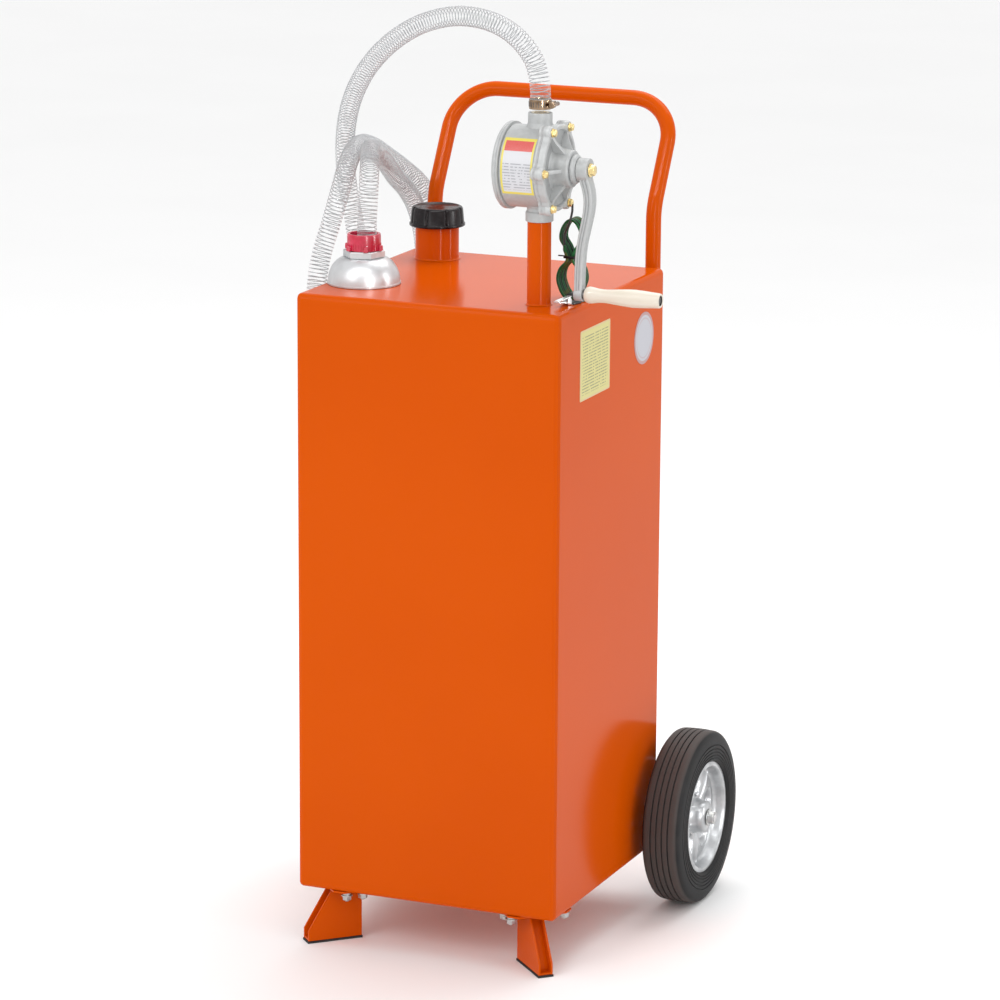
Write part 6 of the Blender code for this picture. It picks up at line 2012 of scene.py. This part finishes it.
@dataclass
class Wheels:
    """Two ribbed tyres on cast hubs, and the axle."""

    shop: Workshop
    centre_x: float = 0.2422
    radius: float = 0.1270
    sides: int = 128
    tread_half: float = 0.0206
    ribs: int = 5
    groove: float = 0.0024
    groove_depth: float = 0.0026
    groove_edge: float = 0.0004
    crown: float = 0.0009
    shoulder: tuple[Flat, ...] = ((0.1257, 0.0222), (0.1245, 0.0245), (0.1212, 0.0271), (0.1165, 0.0286),
                                  (0.1110, 0.0293))
    rings: tuple[float, ...] = (0.1060, 0.1005, 0.0955, 0.0910, 0.0870)
    ring_face: float = 0.0298
    ring_floor: float = 0.0286
    bead: tuple[Flat, ...] = ((0.0845, 0.0290), (0.0822, 0.0268), (0.0810, 0.0245), (0.0790, 0.0238))
    hub_sides: int = 160
    boss_bore: float = 0.0083
    boss_radius: float = 0.0195
    boss_end: float = 0.0285
    flange_height: float = 0.0262
    rim_radius: float = 0.0750
    rim_height: float = 0.0272
    rim_edge: float = 0.0813
    rim_fall: float = 0.0012
    bowl_height: float = 0.0112
    petals: int = 5
    pocket_radius: float = 0.0450
    pocket_length: float = 0.0165
    pocket_width: float = 0.0085
    pocket_depth: float = 0.0078
    spoke_height: float = 0.0024
    spoke_width: float = 0.0024
    hub_back: tuple[Flat, ...] = ((0.0813, 0.0255), (0.0787, 0.0248), (0.0787, -0.0205), (0.0780, -0.0225),
                                  (0.0745, -0.0225), (0.0725, -0.0200), (0.0715, -0.0010), (0.0640, 0.0020),
                                  (0.0240, 0.0025), (0.0205, 0.0), (0.0200, -0.0260), (0.0190, -0.0265),
                                  (0.0083, -0.0265))
    back_ribs: int = 10
    back_rib: tuple[Flat, ...] = ((0.0215, -0.0010), (0.0715, -0.0010), (0.0700, -0.0150), (0.0215, -0.0200))
    back_rib_half: float = 0.0015

    def build(self) -> None:
        """Make both wheels and dress the axle."""
        self.shop.dress(STEEL, "axle")
        for side, word, body in ((-1, "left", Body.WHEEL_LEFT), (1, "right", Body.WHEEL_RIGHT)):
            centre = placed((side * self.centre_x, *AXLE))
            tyre = turned(f"ribbed_tyre_{word}", self.tyre_profile(), Along.X, centre, self.sides, True)
            self.shop.fit(tyre, body, TYRE, [f"tyre_{word}"])
            self.make_hub(word, side, centre, body)
            self.shop.softened(f"axle_nut_{word}", Body.CADDY, ZINC, 0.0006)

    def tyre_profile(self) -> list[Flat]:
        """Draw the tyre's section, with tread ribs and sidewall rings.

        Returns:
            Radius and height of each point, from one bead over the tread to the other.
        """
        rib = (2 * self.tread_half - (self.ribs - 1) * self.groove) / self.ribs
        tread: list[Flat] = []
        at = -self.tread_half
        for i in range(self.ribs):
            for edge in (at, at + rib * 0.5, at + rib):
                tread.append((self.radius - self.crown * (edge / self.tread_half) ** 2, edge))
            at += rib
            if i < self.ribs - 1:
                floor = self.radius - self.crown * (at / self.tread_half) ** 2 - self.groove_depth
                tread += [(floor, at + self.groove_edge), (floor, at + self.groove - self.groove_edge)]
                at += self.groove
        wall = list(self.shoulder)
        for ring in self.rings:
            wall += [(ring + 0.0012, self.ring_face), (ring + 0.0006, self.ring_floor),
                     (ring - 0.0006, self.ring_floor), (ring - 0.0012, self.ring_face)]
        wall += self.bead
        return [(radius, -out) for radius, out in reversed(wall)] + tread + wall

    def hub_height(self, radius: float, angle: float) -> float:
        """Measure the hub's face.

        Args:
            radius: Distance from the axle.
            angle: Turn about the axle, from the middle of a pocket.

        Returns:
            Outward height above the wheel's middle plane.
        """
        if radius <= self.boss_radius:
            return self.boss_end if radius < self.boss_radius - 0.0015 else self.boss_end - 0.0010
        if radius > self.rim_radius:
            fall = (radius - self.rim_radius) / (self.rim_edge - self.rim_radius)
            return self.rim_height - self.rim_fall * fall ** 2
        pitch = tau / self.petals
        spread = (angle + pitch / 2) % pitch - pitch / 2
        along = (radius - self.pocket_radius) / self.pocket_length
        wide = radius * sin(spread) / (self.pocket_width + 0.30 * max(0.0, radius - 0.030))
        pocket = smooth_share(3.0 * (1.0 - (along ** 4 + wide ** 4) ** 0.5))
        spoke = radius * sin(min(pitch / 2 - abs(spread), pi / 4))
        face = self.bowl_height - 0.0020 * ((radius - 0.048) / 0.022) ** 2
        face += self.spoke_height * exp(-(spoke / self.spoke_width) ** 2) - self.pocket_depth * pocket
        for share in (smooth_share((radius - 0.0690) / 0.0060), smooth_share((0.0255 - radius) / 0.0045)):
            face += (self.flange_height - face) * share
        return face

    def make_hub(self, word: str, side: int, centre: Vector, body: Body) -> None:
        """Make the cast hub, whose face is laid over a polar grid.

        Args:
            word: Side of the wheel in words.
            side: One for the right wheel, minus one for the left.
            centre: Middle of the wheel.
            body: Body that the hub rides on.
        """
        radii = [self.boss_bore, 0.0100, 0.0150, self.boss_radius, 0.0215]
        radii += [0.0230 + 0.0015 * i for i in range(31)]
        radii += [0.0700, 0.0715, 0.0730, 0.0745, 0.0757, 0.0768, 0.0780, 0.0792, 0.0802, 0.0810]
        radii.append(self.rim_edge)
        turns = [tau * i / self.hub_sides for i in range(self.hub_sides)]
        levels = [[(radius, self.hub_height(radius, turn - pi / 2)) for turn in turns] for radius in radii]
        levels += [[point] * self.hub_sides for point in self.hub_back]
        bm = bmesh.new()
        skin(bm, [[centre + Vector((side * height, radius * cos(turn), radius * sin(turn)))
                   for turn, (radius, height) in zip(turns, level)] for level in levels], True)
        for i in range(self.back_ribs):
            turn = tau * (i + 0.5) / self.back_ribs

            def lay(reach: float, along: float, aside: float, turn: float = turn) -> Vector:
                """Place of a point of one rear rib."""
                return centre + Vector((side * along, reach * cos(turn) - aside * sin(turn),
                                        reach * sin(turn) + aside * cos(turn)))

            bevelled_prism(bm, self.back_rib, -self.back_rib_half, self.back_rib_half, 0.0005, lay)
        self.shop.fit(from_bmesh(f"cast_hub_{word}", bm, 50.0), body, WHEEL_SILVER, [f"hub_{word}"])


# Studio


@dataclass(frozen=True)
class Lamp:
    """Rectangular studio lamp; a streak lamp shows only in what is glossy."""

    name: str
    place: Point
    aim: Point
    power: float
    size: Flat
    streak: bool = False

    def hang(self) -> None:
        """Add the lamp to the scene."""
        data = bpy.data.lights.new(self.name, "AREA")
        data.shape = "RECTANGLE"
        data.size, data.size_y = self.size
        data.energy = self.power
        lamp = add_object(self.name, data)
        lamp.location = self.place
        lamp.rotation_euler = (Vector(self.aim) - Vector(self.place)).to_track_quat("-Z", "Y").to_euler()
        lamp.visible_diffuse = not self.streak


@dataclass
class Studio:
    """Camera, lights and floor."""

    lens: float = 158.5
    sensor: float = 36.0
    place: Point = (2.3929, -5.5564, 2.0682)
    heading: float = radians(23.0586)
    elevation: float = radians(13.4485)
    roll: float = radians(0.3546)
    lights: tuple[Lamp, ...] = (
        Lamp("key", (-1.4, -3.6, 2.9), (0.0, 0.0, 0.6), 42.0, (2.0, 2.0)),
        Lamp("side", (3.4, -0.6, 2.4), (0.1, 0.0, 0.7), 5.0, (1.6, 2.4)),
        Lamp("top", (0.2, 1.4, 3.4), (0.0, 0.0, 0.9), 46.0, (2.4, 2.0)),
        Lamp("strip_front", (2.64, -3.0, 1.5), (0.0, 0.0, 1.0), 70.0, (0.10, 2.6), True),
        Lamp("strip_side", (3.94, 0.68, 1.5), (0.0, 0.0, 1.0), 60.0, (0.10, 2.6), True),
        Lamp("strip_over", (0.3, -2.0, 3.4), (0.0, 0.0, 0.9), 40.0, (2.4, 0.12), True),
    )
    floor_half: float = 30.0

    def set_camera(self) -> None:
        """Stand the camera where the photograph was taken."""
        data = bpy.data.cameras.new("photo_camera")
        data.lens = self.lens
        data.sensor_width = self.sensor
        data.clip_end = 60.0
        camera = add_object("photo_camera", data)
        turn = Matrix.Rotation(self.heading, 4, "Z") @ Matrix.Rotation(pi / 2 - self.elevation, 4, "X")
        camera.matrix_world = (Matrix.Translation(placed(self.place)) @ turn
                               @ Matrix.Rotation(self.roll, 4, "Z"))
        bpy.context.scene.camera = camera

    def light(self) -> None:
        """Soft studio lights, a pale surround and a floor."""
        for lamp in self.lights:
            lamp.hang()
        world = bpy.data.worlds.new("studio")
        world.use_nodes = True
        surround = world.node_tree.nodes["Background"]
        surround.inputs["Color"].default_value = (1.0, 1.0, 1.0, 1.0)
        surround.inputs["Strength"].default_value = 1.0
        bpy.context.scene.world = world
        bm = bmesh.new()
        bmesh.ops.create_grid(bm, x_segments=1, y_segments=1, size=self.floor_half)
        floor = from_bmesh("floor", bm)
        floor.data.materials.append(FLOOR.material())
        floor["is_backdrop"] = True


def corners(bounds: Iterable[Sequence[float]]) -> list[list[float]]:
    """Box as plain lists of numbers."""
    return [[float(part) for part in corner] for corner in bounds]


def main() -> None:
    """Build the scene."""
    logging.basicConfig(level=logging.INFO, format="%(message)s")
    bpy.context.scene.view_settings.view_transform = "Standard"
    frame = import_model()
    solid_box = corners(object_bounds())
    shop = Workshop(frame)
    studio = Studio()
    studio.set_camera()
    for maker in (Hose, Grounding, Tank, FillerCap, Pump, Clamp, Crank, Handle, Feet, Wheels):
        maker(shop).build()
    studio.light()
    sizes = {"cad": solid_box, "visual": corners(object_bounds())}
    log.info("%d pieces fitted, sizes %s", shop.count, sizes)


if __name__ == "__main__":
    main()
